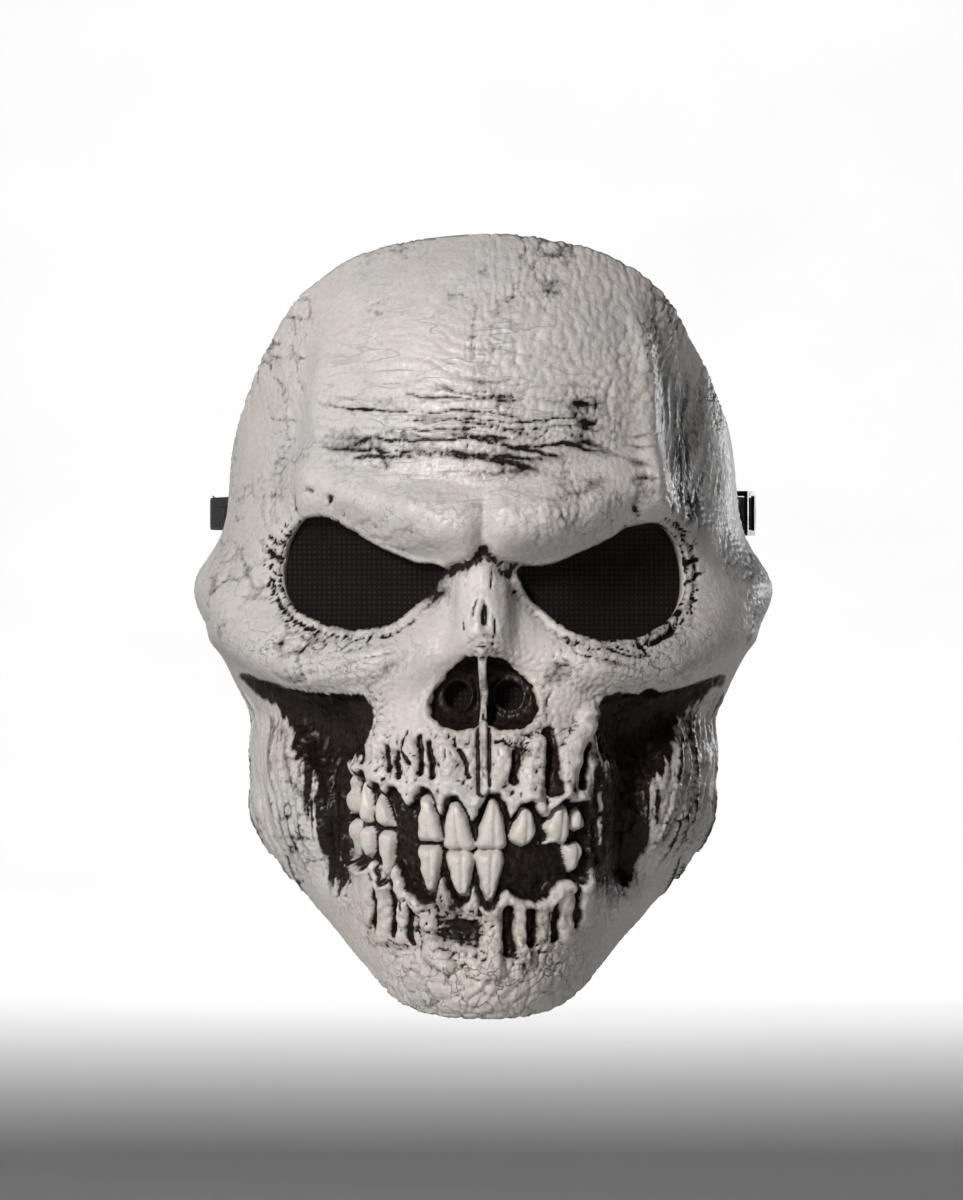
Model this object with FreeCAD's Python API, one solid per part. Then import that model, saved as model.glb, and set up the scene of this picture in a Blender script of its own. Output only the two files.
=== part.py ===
"""Half-face latex skull mask: moulded shell, see-through eye and nose panels, and an adjustable elastic band.

Frame, in millimetres: +Z up, -Y the way the face looks, +X the right-hand side seen from the front. The
origin is midway between the two temple pivots, where the band is sewn to the shell. The band lies as it does
round a wearer's head. The shell is a 2 mm skin: one free-form surface, offset inwards and trimmed by the rim.
"""
import FreeCAD
import Part

import math
import os

from FreeCAD import Vector

# ---------------------------------------------------------------- driving dimensions
SKIN = 2.0                 # latex wall
LEVEL_COUNT = 44           # rows of surface points, chin to forehead
ANGLE_COUNT = 37           # columns of surface points, side to side
ANGLE_LIMIT = 108.0        # degrees each way from the middle of the face
BACK_REACH = 90.0          # how slowly the sides close in behind their widest point
GLUE_GAP = 0.2             # left between a glued layer and the skin
RIM_STEPS = 60             # short straight steps along the rim
TINY = 0.01
BELOW, BEHIND, AHEAD, BESIDE = -200.0, 80.0, -130.0, 120.0    # planes well clear of the shell
CUT_BACK = -40.0           # how far back a cut from the front reaches
CUT_FROM_X = 60.0          # inboard end of a cut through a temple

# Each level of the bare head form: height, half width, front of the face, widest point's Y
LEVELS = [
    (-160.0, 25.0, -84.0, -30.0),
    (-148.0, 34.0, -96.0, -26.0),
    (-137.0, 41.0, -99.0, -22.0),
    (-122.0, 51.5, -97.0, -14.0),
    (-108.0, 62.0, -97.0, -8.0),
    (-95.0, 70.0, -97.0, -4.0),
    (-80.0, 71.5, -97.0, -1.0),
    (-62.0, 73.0, -96.0, 2.0),
    (-45.0, 78.0, -95.0, 4.0),
    (-25.0, 82.0, -95.0, 5.0),
    (0.0, 78.5, -99.0, 4.0),
    (25.0, 76.5, -97.0, 1.0),
    (50.0, 73.0, -89.0, -2.0),
    (68.0, 67.5, -77.0, -5.0),
    (83.0, 58.0, -60.0, -7.0),
    (95.0, 44.0, -40.0, -9.0),
]

# The rim seen from the side, as (Y, Z) from the forehead's edge down to the chin's
RIM = [(-86.0, 101.0), (-62.0, 83.0), (-51.0, 65.0), (-36.0, 45.0), (-16.0, 24.0), (3.0, 9.0), (12.0, -8.0),
       (17.0, -28.0), (11.0, -47.0), (1.0, -60.0), (-4.0, -80.0), (-13.0, -97.0), (-36.0, -115.0),
       (-60.0, -132.0), (-76.0, -144.0), (-90.0, -149.5), (-110.0, -152.0)]

# The eye openings seen from the front, as (X, Z); the +X one sits a little lower
EYES = {
    -1: [(-12.8, -18.7), (-21.0, -15.2), (-32.0, -9.4), (-44.0, -2.8), (-51.5, -2.3), (-56.8, -6.5),
         (-60.0, -14.0), (-59.8, -23.0), (-55.0, -30.0), (-45.5, -34.3), (-34.5, -35.5), (-23.5, -31.5)],
    1: [(12.0, -19.8), (22.0, -15.6), (33.0, -10.0), (43.5, -5.0), (51.5, -4.6), (57.3, -9.0),
        (60.4, -17.5), (59.2, -27.0), (53.0, -34.5), (43.0, -38.4), (31.0, -37.8), (19.0, -31.0)],
}
EYE_MARGIN = 6.5           # how far the panel laps over the skin round the opening
PANEL = 0.5                # see-through fabric

NOSTRIL_X, NOSTRIL_Z, NOSTRIL_R = 7.3, -55.0, 3.3
# Outline of the fabric behind both nostrils, as (X, Z)
NOSE_PANEL = [(-14.0, -55.0), (-9.0, -61.5), (0.0, -62.5), (9.0, -61.5), (14.0, -55.0), (9.0, -48.5), (0.0, -47.5),
              (-9.0, -48.5)]

BAND_WIDTH = 10.0
BAND = 0.9                 # elastic thickness
BAND_X = 72.5              # inboard face of the running layer, at the pivots
FLARE = 15.0               # degrees the band's sides spread, once clear of the rim
FLARE_AT = 11.0            # along each side, where they start to spread
STRAIGHT_END = 53.0        # along each side, where the band starts to turn round the head
SIDE_R = 40.0              # bend at the back corners, to the band's inboard face
SIDE_TURN = 62.0           # degrees of that bend

PIVOT_R = 1.0              # thread shank that the band pivots on
PIVOT_GAP = 0.05
TACK = (0.8, 1.3, 5.0)     # stitch seen outside: how proud, how wide, how long
TACK_LEAN = 28.0           # degrees the stitch leans, along the rim
KNOT = (1.0, 2.6, 5.0)     # knot inside
KNOT_GAP = 0.8             # room for the band to turn under the knot
PATCH = 0.8                # cloth backing patch
PATCH_Y = (-13.0, 6.5)
PATCH_HALF_HEIGHT = 8.5

LAYER_GAP = 1.3            # between the two layers wherever the band is doubled
BAR_R = 0.55               # round bars of the ring and slider
RING_BARS = (18.0, 25.0)   # along the side, middles of the ring's two bars
SLIDER_AT = 46.0           # along the side, the slider's middle at rest
SLIDER_LONG = 11.0
CLAMP_BAR = (1.1, 1.6)     # slider's outer bars: thick, wide
CLAMP_GAP = 0.15           # between those bars and the running layer
RAIL = 1.5                 # height of the ring's and slider's top and bottom rails
RAIL_ROUND = 0.5
BAND_SLACK = 0.4           # play between the band's edges and the rails
TAIL = 9.0                 # folded end that is sewn behind the slider
RETURN_GAP = 1.5           # between the sewn end and the layer that runs into it
STITCH_LONG = 8.0
STITCH_WIDE = 1.0
STITCH_STEP = 2.5          # between the two rows of a seam

RUN_IN = BAND_X
RUN_OUT = BAND_X + BAND
RETURN_OUT = BAND_X - LAYER_GAP
RETURN_IN = RETURN_OUT - BAND
TAIL_OUT = RETURN_IN - LAYER_GAP
RING_X = BAND_X - LAYER_GAP / 2            # middle of the ring's bars
SLIDER_BAR_X = RETURN_IN - LAYER_GAP / 2   # middle of the slider's inner bar


# ---------------------------------------------------------------- the face as a surface
def between(table, z, column):
    """Smooth value of one column of a table at height z, by cubic steps between its rows."""
    last = len(table) - 1
    i = max(k for k in range(last) if z >= table[k][0] or k == 0)
    span = table[i + 1][0] - table[i][0]

    def slope(k):
        a, b = max(k - 1, 0), min(k + 1, last)
        return (table[b][column] - table[a][column]) / (table[b][0] - table[a][0])

    t = (z - table[i][0]) / span
    start, end = table[i][column], table[i + 1][column]
    return (start * (1 + 2 * t) * (1 - t) ** 2 + end * t * t * (3 - 2 * t)
            + span * (slope(i) * t * (1 - t) ** 2 - slope(i + 1) * t * t * (1 - t)))


def hill(x, z, cx, cz, rx, rz, power=1.0):
    """1 at its middle, falling to nothing outside the ellipse rx, rz; a higher power flattens its top."""
    return math.exp(-(((x - cx) / rx) ** 2 + ((z - cz) / rz) ** 2) ** power)


def ridge(x, z, path, wide):
    """1 along a line of points, falling off sideways."""
    best = 1e9
    for (ax, az), (bx, bz) in zip(path, path[1:]):
        t = ((x - ax) * (bx - ax) + (z - az) * (bz - az)) / ((bx - ax) ** 2 + (bz - az) ** 2)
        t = min(1.0, max(0.0, t))
        best = min(best, math.hypot(x - ax - t * (bx - ax), z - az - t * (bz - az)))
    return math.exp(-(best / wide) ** 2)


def step(low, high, value):
    t = min(1.0, max(0.0, (value - low) / (high - low)))
    return t * t * (3 - 2 * t)


def relief(x, z):
    """How far the bones stand out from the bare head form, in mm, at a point seen from the front."""
    x = abs(x)
    out = 5.0 * ridge(x, z, [(7, -6), (28, 1), (50, 9)], 8.0)            # brow
    out += 2.5 * hill(x, z, 0, 0, 12, 11)                                # between the brows
    out -= 1.5 * hill(x, z, 64, 28, 12, 20)                              # temple
    out -= 7.5 * hill(x, z, 38, -20, 27, 18, 2.0)                        # eye socket
    out -= 4.0 * hill(x, z, 17, -27, 8, 9)                               # its inner corner
    out += 8.0 * hill(x, z, 0, -32, 9, 16, 1.5) * step(-2, -30, z)       # nose bones
    out -= 9.0 * hill(x, z, 0, -55, 15, 11, 2.0)                         # nose cavity
    out += 6.5 * ridge(x, z, [(30, -45), (50, -46), (68, -36), (84, -22)], 10.0)          # cheekbone
    out -= 6.0 * hill(x, z, 55, -62, 17, 8)                              # hollow below the cheekbone
    out -= 7.0 * ridge(x, z, [(49, -70), (46, -84), (45, -106)], 7.0)    # hollow between jaw and teeth
    out += 6.0 * hill(x, z, 0, -94, 42, 32, 2.0)                         # jaws and teeth
    out += 4.0 * hill(x, z, 0, -140, 25, 12)                             # chin
    return out


def face_point(angle, z):
    """A point of the outer surface: angle 0 is the middle of the face and 90 its widest point."""
    half, front, widest = (between(LEVELS, z, c) for c in (1, 2, 3))
    a = math.radians(angle)
    x = half * math.sin(a)
    out = relief(x, z)
    reach = widest - front + out if abs(angle) < 90 else BACK_REACH
    return Vector(x + out * math.sin(a), widest - reach * math.cos(a), z)


def spread(count, low, high):
    return [low + (high - low) * k / (count - 1) for k in range(count)]


HEIGHTS = spread(LEVEL_COUNT, LEVELS[0][0], LEVELS[-1][0])
ANGLES = spread(ANGLE_COUNT, -ANGLE_LIMIT, ANGLE_LIMIT)


def inward(angle, z):
    """Unit normal of the outer surface, pointing into the mask."""
    small = 0.6
    along = face_point(angle + small, z) - face_point(angle - small, z)
    up = face_point(angle, z + small) - face_point(angle, z - small)
    return up.cross(along).normalize()


INWARDS = [[inward(a, min(max(z, HEIGHTS[0] + 1), HEIGHTS[-1] - 1)) for a in ANGLES] for z in HEIGHTS]


def sheet(depth):
    """The face's surface, this far inside the outer one."""
    rows = [[face_point(a, z) + n * depth for a, n in zip(ANGLES, normals)]
            for z, normals in zip(HEIGHTS, INWARDS)]
    surface = Part.BSplineSurface()
    surface.interpolate(rows)
    return surface.toShape()


def layer(outer_depth, inner_depth):
    """Solid between two depths, untrimmed."""
    outer, inner = sheet(outer_depth), sheet(inner_depth)
    walls = [Part.makeRuledSurface(a, b) for a, b in zip(outer.Edges, inner.Edges)]
    shell = Part.makeShell([outer, inner] + walls)
    shell.sewShape()
    solid = Part.makeSolid(shell)
    if solid.Volume < 0:
        solid.reverse()
    return solid


def smooth_loop(points):
    curve = Part.BSplineCurve()
    curve.interpolate(points, PeriodicFlag=True)
    return Part.Wire(curve.toShape())


def eye_prism(side, margin):
    """Block that an eye opening, grown by margin, sweeps along the line of sight."""
    outline = EYES[side]
    cx = sum(x for x, z in outline) / len(outline)
    cz = sum(z for x, z in outline) / len(outline)
    points = []
    for x, z in outline:
        grow = 1 + margin / math.hypot(x - cx, z - cz)
        points.append(Vector(cx + (x - cx) * grow, AHEAD, cz + (z - cz) * grow))
    return Part.Face(smooth_loop(points)).extrude(Vector(0, CUT_BACK - AHEAD, 0))


def behind_rim():
    """Block holding everything behind the rim line, its edge walked in short straight steps."""
    curve = Part.BSplineCurve()
    curve.interpolate([Vector(-BESIDE, y, z) for y, z in RIM])
    edge = curve.discretize(Number=RIM_STEPS)
    top, low = edge[0], edge[-1]
    corners = [Vector(low.x, low.y, BELOW), Vector(low.x, BEHIND, BELOW), Vector(top.x, BEHIND, top.z), top]
    return Part.Face(Part.makePolygon(edge + corners)).extrude(Vector(2 * BESIDE, 0, 0))


def rod(radius, start, end):
    return Part.makeCylinder(radius, (end - start).Length, start, end - start)


def latex_shell():
    skin = layer(0, SKIN).cut(behind_rim())
    for side in (-1, 1):
        skin = skin.cut(eye_prism(side, 0))
        front, back = (Vector(side * NOSTRIL_X, y, NOSTRIL_Z) for y in (AHEAD, CUT_BACK))
        skin = skin.cut(rod(NOSTRIL_R, front, back))
        skin = skin.cut(pivot_hole(side))
    return skin


def eye_panel(side):
    """See-through fabric glued behind one eye opening."""
    depth = SKIN + GLUE_GAP
    return layer(depth, depth + PANEL).common(eye_prism(side, EYE_MARGIN))


def nose_panel():
    """The same fabric glued behind both nostrils."""
    depth = SKIN + GLUE_GAP
    outline = smooth_loop([Vector(x, AHEAD, z) for x, z in NOSE_PANEL])
    return layer(depth, depth + PANEL).common(Part.Face(outline).extrude(Vector(0, CUT_BACK - AHEAD, 0)))


def backing_patch(side):
    """Cloth glued inside the temple, that the sewing pulls against."""
    depth = SKIN + GLUE_GAP
    low_y, high_y = PATCH_Y
    deep = BESIDE - CUT_FROM_X
    block = Part.makeBox(deep, high_y - low_y, 2 * PATCH_HALF_HEIGHT,
                         Vector(CUT_FROM_X if side > 0 else -BESIDE, low_y, -PATCH_HALF_HEIGHT))
    patch = layer(depth, depth + PATCH).common(block).cut(behind_rim())
    return patch.cut(pivot_hole(side))


# ---------------------------------------------------------------- the band and its sewing
def flared(shape):
    """Turn a shape built along Y at the +X temple outwards with the band's side."""
    turned = shape.copy()
    turned.rotate(Vector(BAND_X, FLARE_AT, 0), Vector(0, 0, 1), -FLARE)
    return turned


def mirrored(shape):
    return shape.mirror(Vector(), Vector(1, 0, 0))


def pivot_hole(side):
    return rod(PIVOT_R + PIVOT_GAP, Vector(side * CUT_FROM_X, 0, 0), Vector(side * BESIDE, 0, 0))


def bar_tack(side):
    """Thread at one temple: a stitch outside, a shank through everything, and a knot inside."""
    proud, wide, long = TACK
    outside = max(face_point(a, z).x for a in spread(19, 80.0, 98.0) for z in spread(5, -long / 2, long / 2))
    stitch = Part.makeBox(proud, wide, long, Vector(outside, -wide / 2, -long / 2))
    stitch.rotate(Vector(), Vector(1, 0, 0), TACK_LEAN)
    thick, deep, tall = KNOT
    inside = BAND_X - KNOT_GAP
    knot = Part.makeBox(thick, deep, tall, Vector(inside - thick, -deep / 2, -tall / 2))
    shank = rod(PIVOT_R, Vector(inside - thick / 2, 0, 0), Vector(outside + proud / 2, 0, 0))
    tack = shank.fuse([stitch, knot]).removeSplitter()
    return tack if side > 0 else mirrored(tack)


def strip(x_low, x_high, y_low, y_high, tall=BAND_WIDTH):
    return Part.makeBox(x_high - x_low, y_high - y_low, tall, Vector(x_low, y_low, -tall / 2))


def root():
    """Start of the band at the +X temple: a rounded end on the pivot, straight until the flare."""
    disc = Part.makeCylinder(BAND_WIDTH / 2, BAND, Vector(RUN_IN, 0, 0), Vector(1, 0, 0))
    return disc.fuse(strip(RUN_IN, RUN_OUT, 0, FLARE_AT)).cut(pivot_hole(1))


def fold(x, y, way):
    """Half turn of the band round a bar at x, y, bulging towards +Y or -Y."""
    outer, base = LAYER_GAP / 2 + BAND, Vector(x, y, -BAND_WIDTH / 2)
    turn = Part.makeCylinder(outer, BAND_WIDTH, base).cut(Part.makeCylinder(LAYER_GAP / 2, BAND_WIDTH, base))
    low, high = sorted((y, y + way * 2 * outer))
    return turn.common(strip(x - outer, x + outer, low, high))


def round_the_head():
    """The single layer behind the head: a corner bend each side and one wide bend between them."""
    flare = math.radians(FLARE)
    first, last = 90.0 - FLARE, 90.0 - FLARE + SIDE_TURN      # headings, in degrees from +X
    length = STRAIGHT_END - FLARE_AT
    start = Vector(BAND_X + length * math.sin(flare), FLARE_AT + length * math.cos(flare), 0)
    corner = start + Vector(-math.cos(flare), math.sin(flare), 0) * SIDE_R
    wide_r = SIDE_R + corner.x / math.sin(math.radians(last))
    middle = Vector(0, corner.y + (wide_r - SIDE_R) * math.cos(math.radians(last)), 0)

    def at(centre, radius, heading):
        a = math.radians(heading)
        return centre + Vector(radius * math.sin(a), -radius * math.cos(a), 0)

    def rail(extra):
        bend = [at(corner, SIDE_R + extra, h) for h in (first, (first + last) / 2, last)]
        other = [Vector(-p.x, p.y, 0) for p in reversed(bend)]
        back = at(middle, wide_r + extra, 180.0)
        arcs = [Part.Arc(*bend), Part.Arc(bend[2], back, other[0]), Part.Arc(*other)]
        return [arc.toShape() for arc in arcs], bend[0], other[2]

    inner, inner_start, inner_end = rail(0.0)
    outer, outer_start, outer_end = rail(BAND)
    caps = [Part.makeLine(inner_start, outer_start), Part.makeLine(inner_end, outer_end)]
    face = Part.Face(Part.Wire(Part.__sortEdges__(inner + outer + caps)))
    face.translate(Vector(0, 0, -BAND_WIDTH / 2))
    return face.extrude(Vector(0, 0, BAND_WIDTH))


def head_band():
    """From the -X pivot round the head, then along the +X side and round the ring's rear bar."""
    far = mirrored(root().fuse(flared(strip(RUN_IN, RUN_OUT, FLARE_AT, STRAIGHT_END))))
    near = flared(strip(RUN_IN, RUN_OUT, RING_BARS[1], STRAIGHT_END).fuse(fold(RING_X, RING_BARS[1], -1)))
    return far.fuse([round_the_head(), near]).removeSplitter()


def band_return():
    """Second layer, from the ring back to the sewn end; it shortens as the slider moves forward."""
    return flared(strip(RETURN_IN, RETURN_OUT, RING_BARS[1], SLIDER_AT - TAIL - RETURN_GAP))


def band_end():
    """Sewn end of the band, folded round the slider's inner bar."""
    start = SLIDER_AT - TAIL
    layers = strip(RETURN_IN, RETURN_OUT, start, SLIDER_AT)
    tail = strip(TAIL_OUT - BAND, TAIL_OUT, start, SLIDER_AT)
    return flared(layers.fuse([fold(SLIDER_BAR_X, SLIDER_AT, 1), tail]).removeSplitter())


def ring_tab():
    """Short doubled piece of band that holds the ring at the +X temple."""
    outer = strip(RUN_IN, RUN_OUT, FLARE_AT, RING_BARS[0])
    inner = strip(RETURN_IN, RETURN_OUT, FLARE_AT + 1, RING_BARS[0])
    loop = outer.fuse([fold(RING_X, RING_BARS[0], 1), inner])
    return root().fuse(flared(loop)).removeSplitter()


def frame(x_low, x_high, y_low, y_high, bars):
    """Moulded ring or slider: top and bottom rails with rounded corners, joined by upright bars."""
    inner = BAND_WIDTH / 2 + BAND_SLACK
    rails = [Part.makeBox(x_high - x_low, y_high - y_low, RAIL, Vector(x_low, y_low, z))
             for z in (-inner - RAIL, inner)]
    rails = [rail.makeFillet(RAIL_ROUND, [e for e in rail.Edges if e.BoundBox.XLength > TINY])
             for rail in rails]
    return rails[0].fuse([rails[1]] + bars).removeSplitter()


def round_bar(x, y):
    tall = BAND_WIDTH + 2 * BAND_SLACK + RAIL
    return Part.makeCylinder(BAR_R, tall, Vector(x, y, -tall / 2))


def ring():
    bars = [round_bar(RING_X, y) for y in RING_BARS]
    return flared(frame(RING_X - BAR_R, RING_X + BAR_R, RING_BARS[0] - BAR_R, RING_BARS[1] + BAR_R, bars))


def slider():
    """Three-bar slider: two bars lie over the running layer and the inner one holds the sewn end."""
    thick, wide = CLAMP_BAR
    low = RUN_OUT + CLAMP_GAP
    front, rear = SLIDER_AT - SLIDER_LONG / 2, SLIDER_AT + SLIDER_LONG / 2
    tall = BAND_WIDTH + 2 * BAND_SLACK + RAIL
    bars = [strip(low, low + thick, y, y + wide, tall) for y in (front, rear - wide)]
    bars.append(round_bar(SLIDER_BAR_X, SLIDER_AT))
    return flared(frame(SLIDER_BAR_X - BAR_R, low + thick, front, rear, bars))


def seam(x_low, x_high, first):
    """Two rows of thread that hold two layers together."""
    rows = [strip(x_low, x_high, y - STITCH_WIDE / 2, y + STITCH_WIDE / 2, STITCH_LONG)
            for y in (first, first + STITCH_STEP)]
    return flared(Part.makeCompound(rows))


NODES = {
    "latex_shell": latex_shell,
    "left_eye_panel": lambda: eye_panel(-1),
    "right_eye_panel": lambda: eye_panel(1),
    "nose_panel": nose_panel,
    "left_backing_patch": lambda: backing_patch(-1),
    "right_backing_patch": lambda: backing_patch(1),
    "left_bar_tack": lambda: bar_tack(-1),
    "right_bar_tack": lambda: bar_tack(1),
    "head_band": head_band,
    "band_return": band_return,
    "band_end": band_end,
    "ring_tab": ring_tab,
    "ring": ring,
    "slider": slider,
    "end_stitches": lambda: seam(TAIL_OUT, RETURN_IN, SLIDER_AT - TAIL + STITCH_STEP / 2),
    "tab_stitches": lambda: seam(RETURN_OUT, RUN_IN, FLARE_AT + STITCH_STEP),
}

os.makedirs("parts", exist_ok=True)
for name, make in NODES.items():
    shape = make()
    shape.exportStep(f"parts/{name}.step")
    print(name, shape.isValid(), len(shape.Solids), round(shape.Volume, 1))
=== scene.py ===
import math

import bpy
import numpy as np
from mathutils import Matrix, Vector


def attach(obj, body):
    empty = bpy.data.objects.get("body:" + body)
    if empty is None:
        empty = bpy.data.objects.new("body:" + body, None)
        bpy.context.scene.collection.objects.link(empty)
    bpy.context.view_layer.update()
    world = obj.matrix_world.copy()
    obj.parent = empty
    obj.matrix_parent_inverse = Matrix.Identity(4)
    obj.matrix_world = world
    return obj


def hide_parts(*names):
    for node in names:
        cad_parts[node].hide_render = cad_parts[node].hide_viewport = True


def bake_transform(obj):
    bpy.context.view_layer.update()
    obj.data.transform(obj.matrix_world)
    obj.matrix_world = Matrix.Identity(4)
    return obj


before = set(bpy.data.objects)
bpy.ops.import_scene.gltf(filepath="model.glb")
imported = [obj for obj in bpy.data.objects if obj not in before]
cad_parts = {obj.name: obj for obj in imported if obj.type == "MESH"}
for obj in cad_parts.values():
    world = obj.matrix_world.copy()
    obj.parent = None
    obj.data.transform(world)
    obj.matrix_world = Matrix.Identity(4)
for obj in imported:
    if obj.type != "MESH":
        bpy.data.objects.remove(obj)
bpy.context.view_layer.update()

MM = 0.001
SEED = 7
TABLE = 64      # side of the tables of random values

# ---------------------------------------------------------------- the head form, as in the CAD
SKIN = 2.0
ANGLE_LIMIT = 108.0
BACK_REACH = 90.0
# height, half width, front of the face, widest point's Y
LEVELS = np.array([
    (-160.0, 25.0, -84.0, -30.0), (-148.0, 34.0, -96.0, -26.0), (-137.0, 41.0, -99.0, -22.0),
    (-122.0, 51.5, -97.0, -14.0), (-108.0, 62.0, -97.0, -8.0), (-95.0, 70.0, -97.0, -4.0),
    (-80.0, 71.5, -97.0, -1.0), (-62.0, 73.0, -96.0, 2.0), (-45.0, 78.0, -95.0, 4.0),
    (-25.0, 82.0, -95.0, 5.0), (0.0, 78.5, -99.0, 4.0), (25.0, 76.5, -97.0, 1.0),
    (50.0, 73.0, -89.0, -2.0), (68.0, 67.5, -77.0, -5.0), (83.0, 58.0, -60.0, -7.0),
    (95.0, 44.0, -40.0, -9.0)])
RIM = np.array([
    (-110.0, -152.0), (-90.0, -149.5), (-76.0, -144.0), (-60.0, -132.0), (-36.0, -115.0), (-13.0, -97.0),
    (-4.0, -80.0), (1.0, -60.0), (11.0, -47.0), (17.0, -28.0), (12.0, -8.0), (3.0, 9.0), (-16.0, 24.0),
    (-36.0, 45.0), (-51.0, 65.0), (-62.0, 83.0), (-86.0, 101.0)])
EYES = {
    "left": [(-12.8, -18.7), (-21.0, -15.2), (-32.0, -9.4), (-44.0, -2.8), (-51.5, -2.3), (-56.8, -6.5),
             (-60.0, -14.0), (-59.8, -23.0), (-55.0, -30.0), (-45.5, -34.3), (-34.5, -35.5), (-23.5, -31.5)],
    "right": [(12.0, -19.8), (22.0, -15.6), (33.0, -10.0), (43.5, -5.0), (51.5, -4.6), (57.3, -9.0),
              (60.4, -17.5), (59.2, -27.0), (53.0, -34.5), (43.0, -38.4), (31.0, -37.8), (19.0, -31.0)],
}
NOSTRILS = ((-7.3, -55.0), (7.3, -55.0))
NOSTRIL_R = 3.3
NOSE_PANEL = [(-14.0, -55.0), (-9.0, -61.5), (0.0, -62.5), (9.0, -61.5), (14.0, -55.0), (9.0, -48.5),
              (0.0, -47.5), (-9.0, -48.5)]

# ---------------------------------------------------------------- what the sculpt adds, seen from the front
# each tooth: low X, high X, Z of the biting edge, Z of the root's tip, X shift of the root
UPPER_TEETH = [
    (-41.4, -39.6, -90.3, -76.3, 0.6), (-37.6, -34.4, -92.9, -78.8, 0.2),
    (-31.9, -27.6, -93.9, -82.3, -2.0), (-19.9, -12.5, -98.0, -83.4, -1.2),
    (-11.5, -2.7, -100.3, -85.6, -1.9), (-1.9, 6.5, -99.9, -84.9, 1.1), (7.3, 15.6, -99.1, -87.2, 1.8),
    (17.0, 25.6, -98.8, -86.6, 2.6), (26.2, 31.2, -94.6, -87.4, 0.4)]
LOWER_TEETH = [
    (-40.8, -39.4, -92.0, -104.8, 0.4), (-37.4, -34.2, -93.8, -105.4, 0.6),
    (-31.4, -27.2, -95.3, -110.0, 0.2), (-19.7, -12.9, -99.3, -114.3, 0.3),
    (-11.4, -3.3, -101.0, -114.9, 1.1), (-2.1, 6.1, -100.6, -116.5, -0.2),
    (25.0, 30.4, -98.9, -108.8, -0.5)]
ROUND_TOOTH, HOLED_TOOTH = 6, 7
# edge of the bone round the teeth: above them from left to right, then below them back again
MOUTH = [
    (-41.6, -83.0), (-40.6, -75.4), (-38.2, -79.6), (-36.2, -77.4), (-34.9, -82.6), (-32.6, -80.8),
    (-30.6, -84.2), (-27.6, -81.8), (-25.0, -83.0), (-22.6, -87.4), (-20.2, -85.2), (-18.0, -82.2),
    (-15.2, -84.8), (-12.5, -89.6), (-11.2, -86.4), (-9.1, -84.4), (-6.0, -87.2), (-3.2, -91.6),
    (-1.0, -87.6), (3.1, -83.8), (6.4, -86.4), (8.2, -90.8), (10.8, -88.0), (14.2, -85.6), (17.0, -89.6),
    (19.6, -90.2), (23.0, -86.0), (27.6, -86.4), (31.6, -88.4), (32.4, -98.0), (30.2, -110.4),
    (25.6, -109.4), (22.2, -110.6), (17.4, -115.4), (10.6, -114.6), (6.9, -112.2), (2.4, -117.4),
    (-0.6, -114.6), (-2.7, -110.6), (-6.1, -116.8), (-9.2, -113.8), (-11.9, -108.4), (-13.9, -113.4),
    (-16.3, -115.6), (-19.8, -112.8), (-23.2, -111.6), (-26.0, -105.0), (-29.0, -109.9), (-32.3, -104.6),
    (-35.0, -105.6), (-38.8, -105.6), (-41.4, -97.0)]
# long bony roots as (path, half width, height)
ROOTS = [
    ([(-37.5, -76), (-37, -68)], 2.0, 1.0), ([(-32, -78), (-33, -70), (-30, -66)], 2.4, 1.5),
    ([(-21, -82), (-22, -69)], 2.1, 1.6), ([(-11, -82), (-10, -74), (-12, -70)], 2.6, 1.8),
    ([(-27, -80), (-16, -80.6), (-9, -82), (-3, -86)], 1.9, 1.3),
    ([(3, -81), (6.5, -76), (5, -72)], 2.5, 1.6), ([(9, -86), (12, -82)], 1.6, 1.2),
    ([(13.6, -84), (15.6, -70)], 2.9, 2.8), ([(17.5, -88), (17, -84)], 1.6, 1.4),
    ([(22.6, -86), (26.4, -72), (31.5, -61)], 3.0, 3.0), ([(30, -86), (34, -76)], 2.2, 1.4),
    ([(36, -88), (36.5, -76)], 2.0, 1.2), ([(35.5, -104), (36, -92)], 2.0, 1.2),
    ([(-35.5, -107), (-33, -122)], 1.6, 1.5), ([(-30.5, -111), (-29, -127)], 1.9, 1.8),
    ([(-24.5, -112), (-23.5, -127)], 1.7, 1.3),
    ([(-19, -114), (-15.6, -119), (-15, -131), (-11, -134)], 2.5, 3.0),
    ([(-12, -110), (-11.5, -117)], 1.6, 1.4), ([(-3, -112), (-4, -120)], 1.8, 1.3),
    ([(2.6, -118), (3.2, -136)], 2.8, 2.8), ([(10.2, -117), (10.9, -132)], 1.9, 2.4),
    ([(5.6, -115), (12, -116), (20, -117), (25, -112)], 1.7, 1.4), ([(17, -118), (18, -128)], 2.0, 1.2),
    ([(24, -114), (25, -126)], 2.1, 1.4), ([(31, -110), (30, -121)], 2.1, 1.2)]
# dark clefts between them as (path, half width)
CLEFTS = [
    ([(-25.2, -72), (-24.6, -79)], 0.7), ([(-28.5, -70), (-28.0, -77)], 0.6),
    ([(-18.6, -67), (-18.3, -78)], 0.7), ([(-15.6, -69), (-14.6, -79)], 0.8),
    ([(-22.5, -66), (-24.0, -71), (-21.5, -75)], 0.5), ([(-7, -71), (-4, -79)], 0.5),
    ([(19.8, -66), (20.4, -83)], 2.0), ([(10, -72), (9, -80)], 1.2), ([(29, -82), (31, -70)], 1.0),
    ([(-31.6, -112), (-31.2, -124)], 0.8), ([(-26.6, -113), (-26.2, -126)], 0.8),
    ([(-21.6, -117), (-21, -128)], 0.8), ([(-27.5, -109), (-24, -118)], 0.6),
    ([(7.2, -118.5), (7.4, -130)], 1.7), ([(14.2, -119), (14.0, -128)], 1.3),
    ([(21, -117), (21, -127)], 1.0), ([(28, -112), (27.5, -123)], 0.9), ([(33.4, -92), (33.6, -104)], 0.9)]
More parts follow.
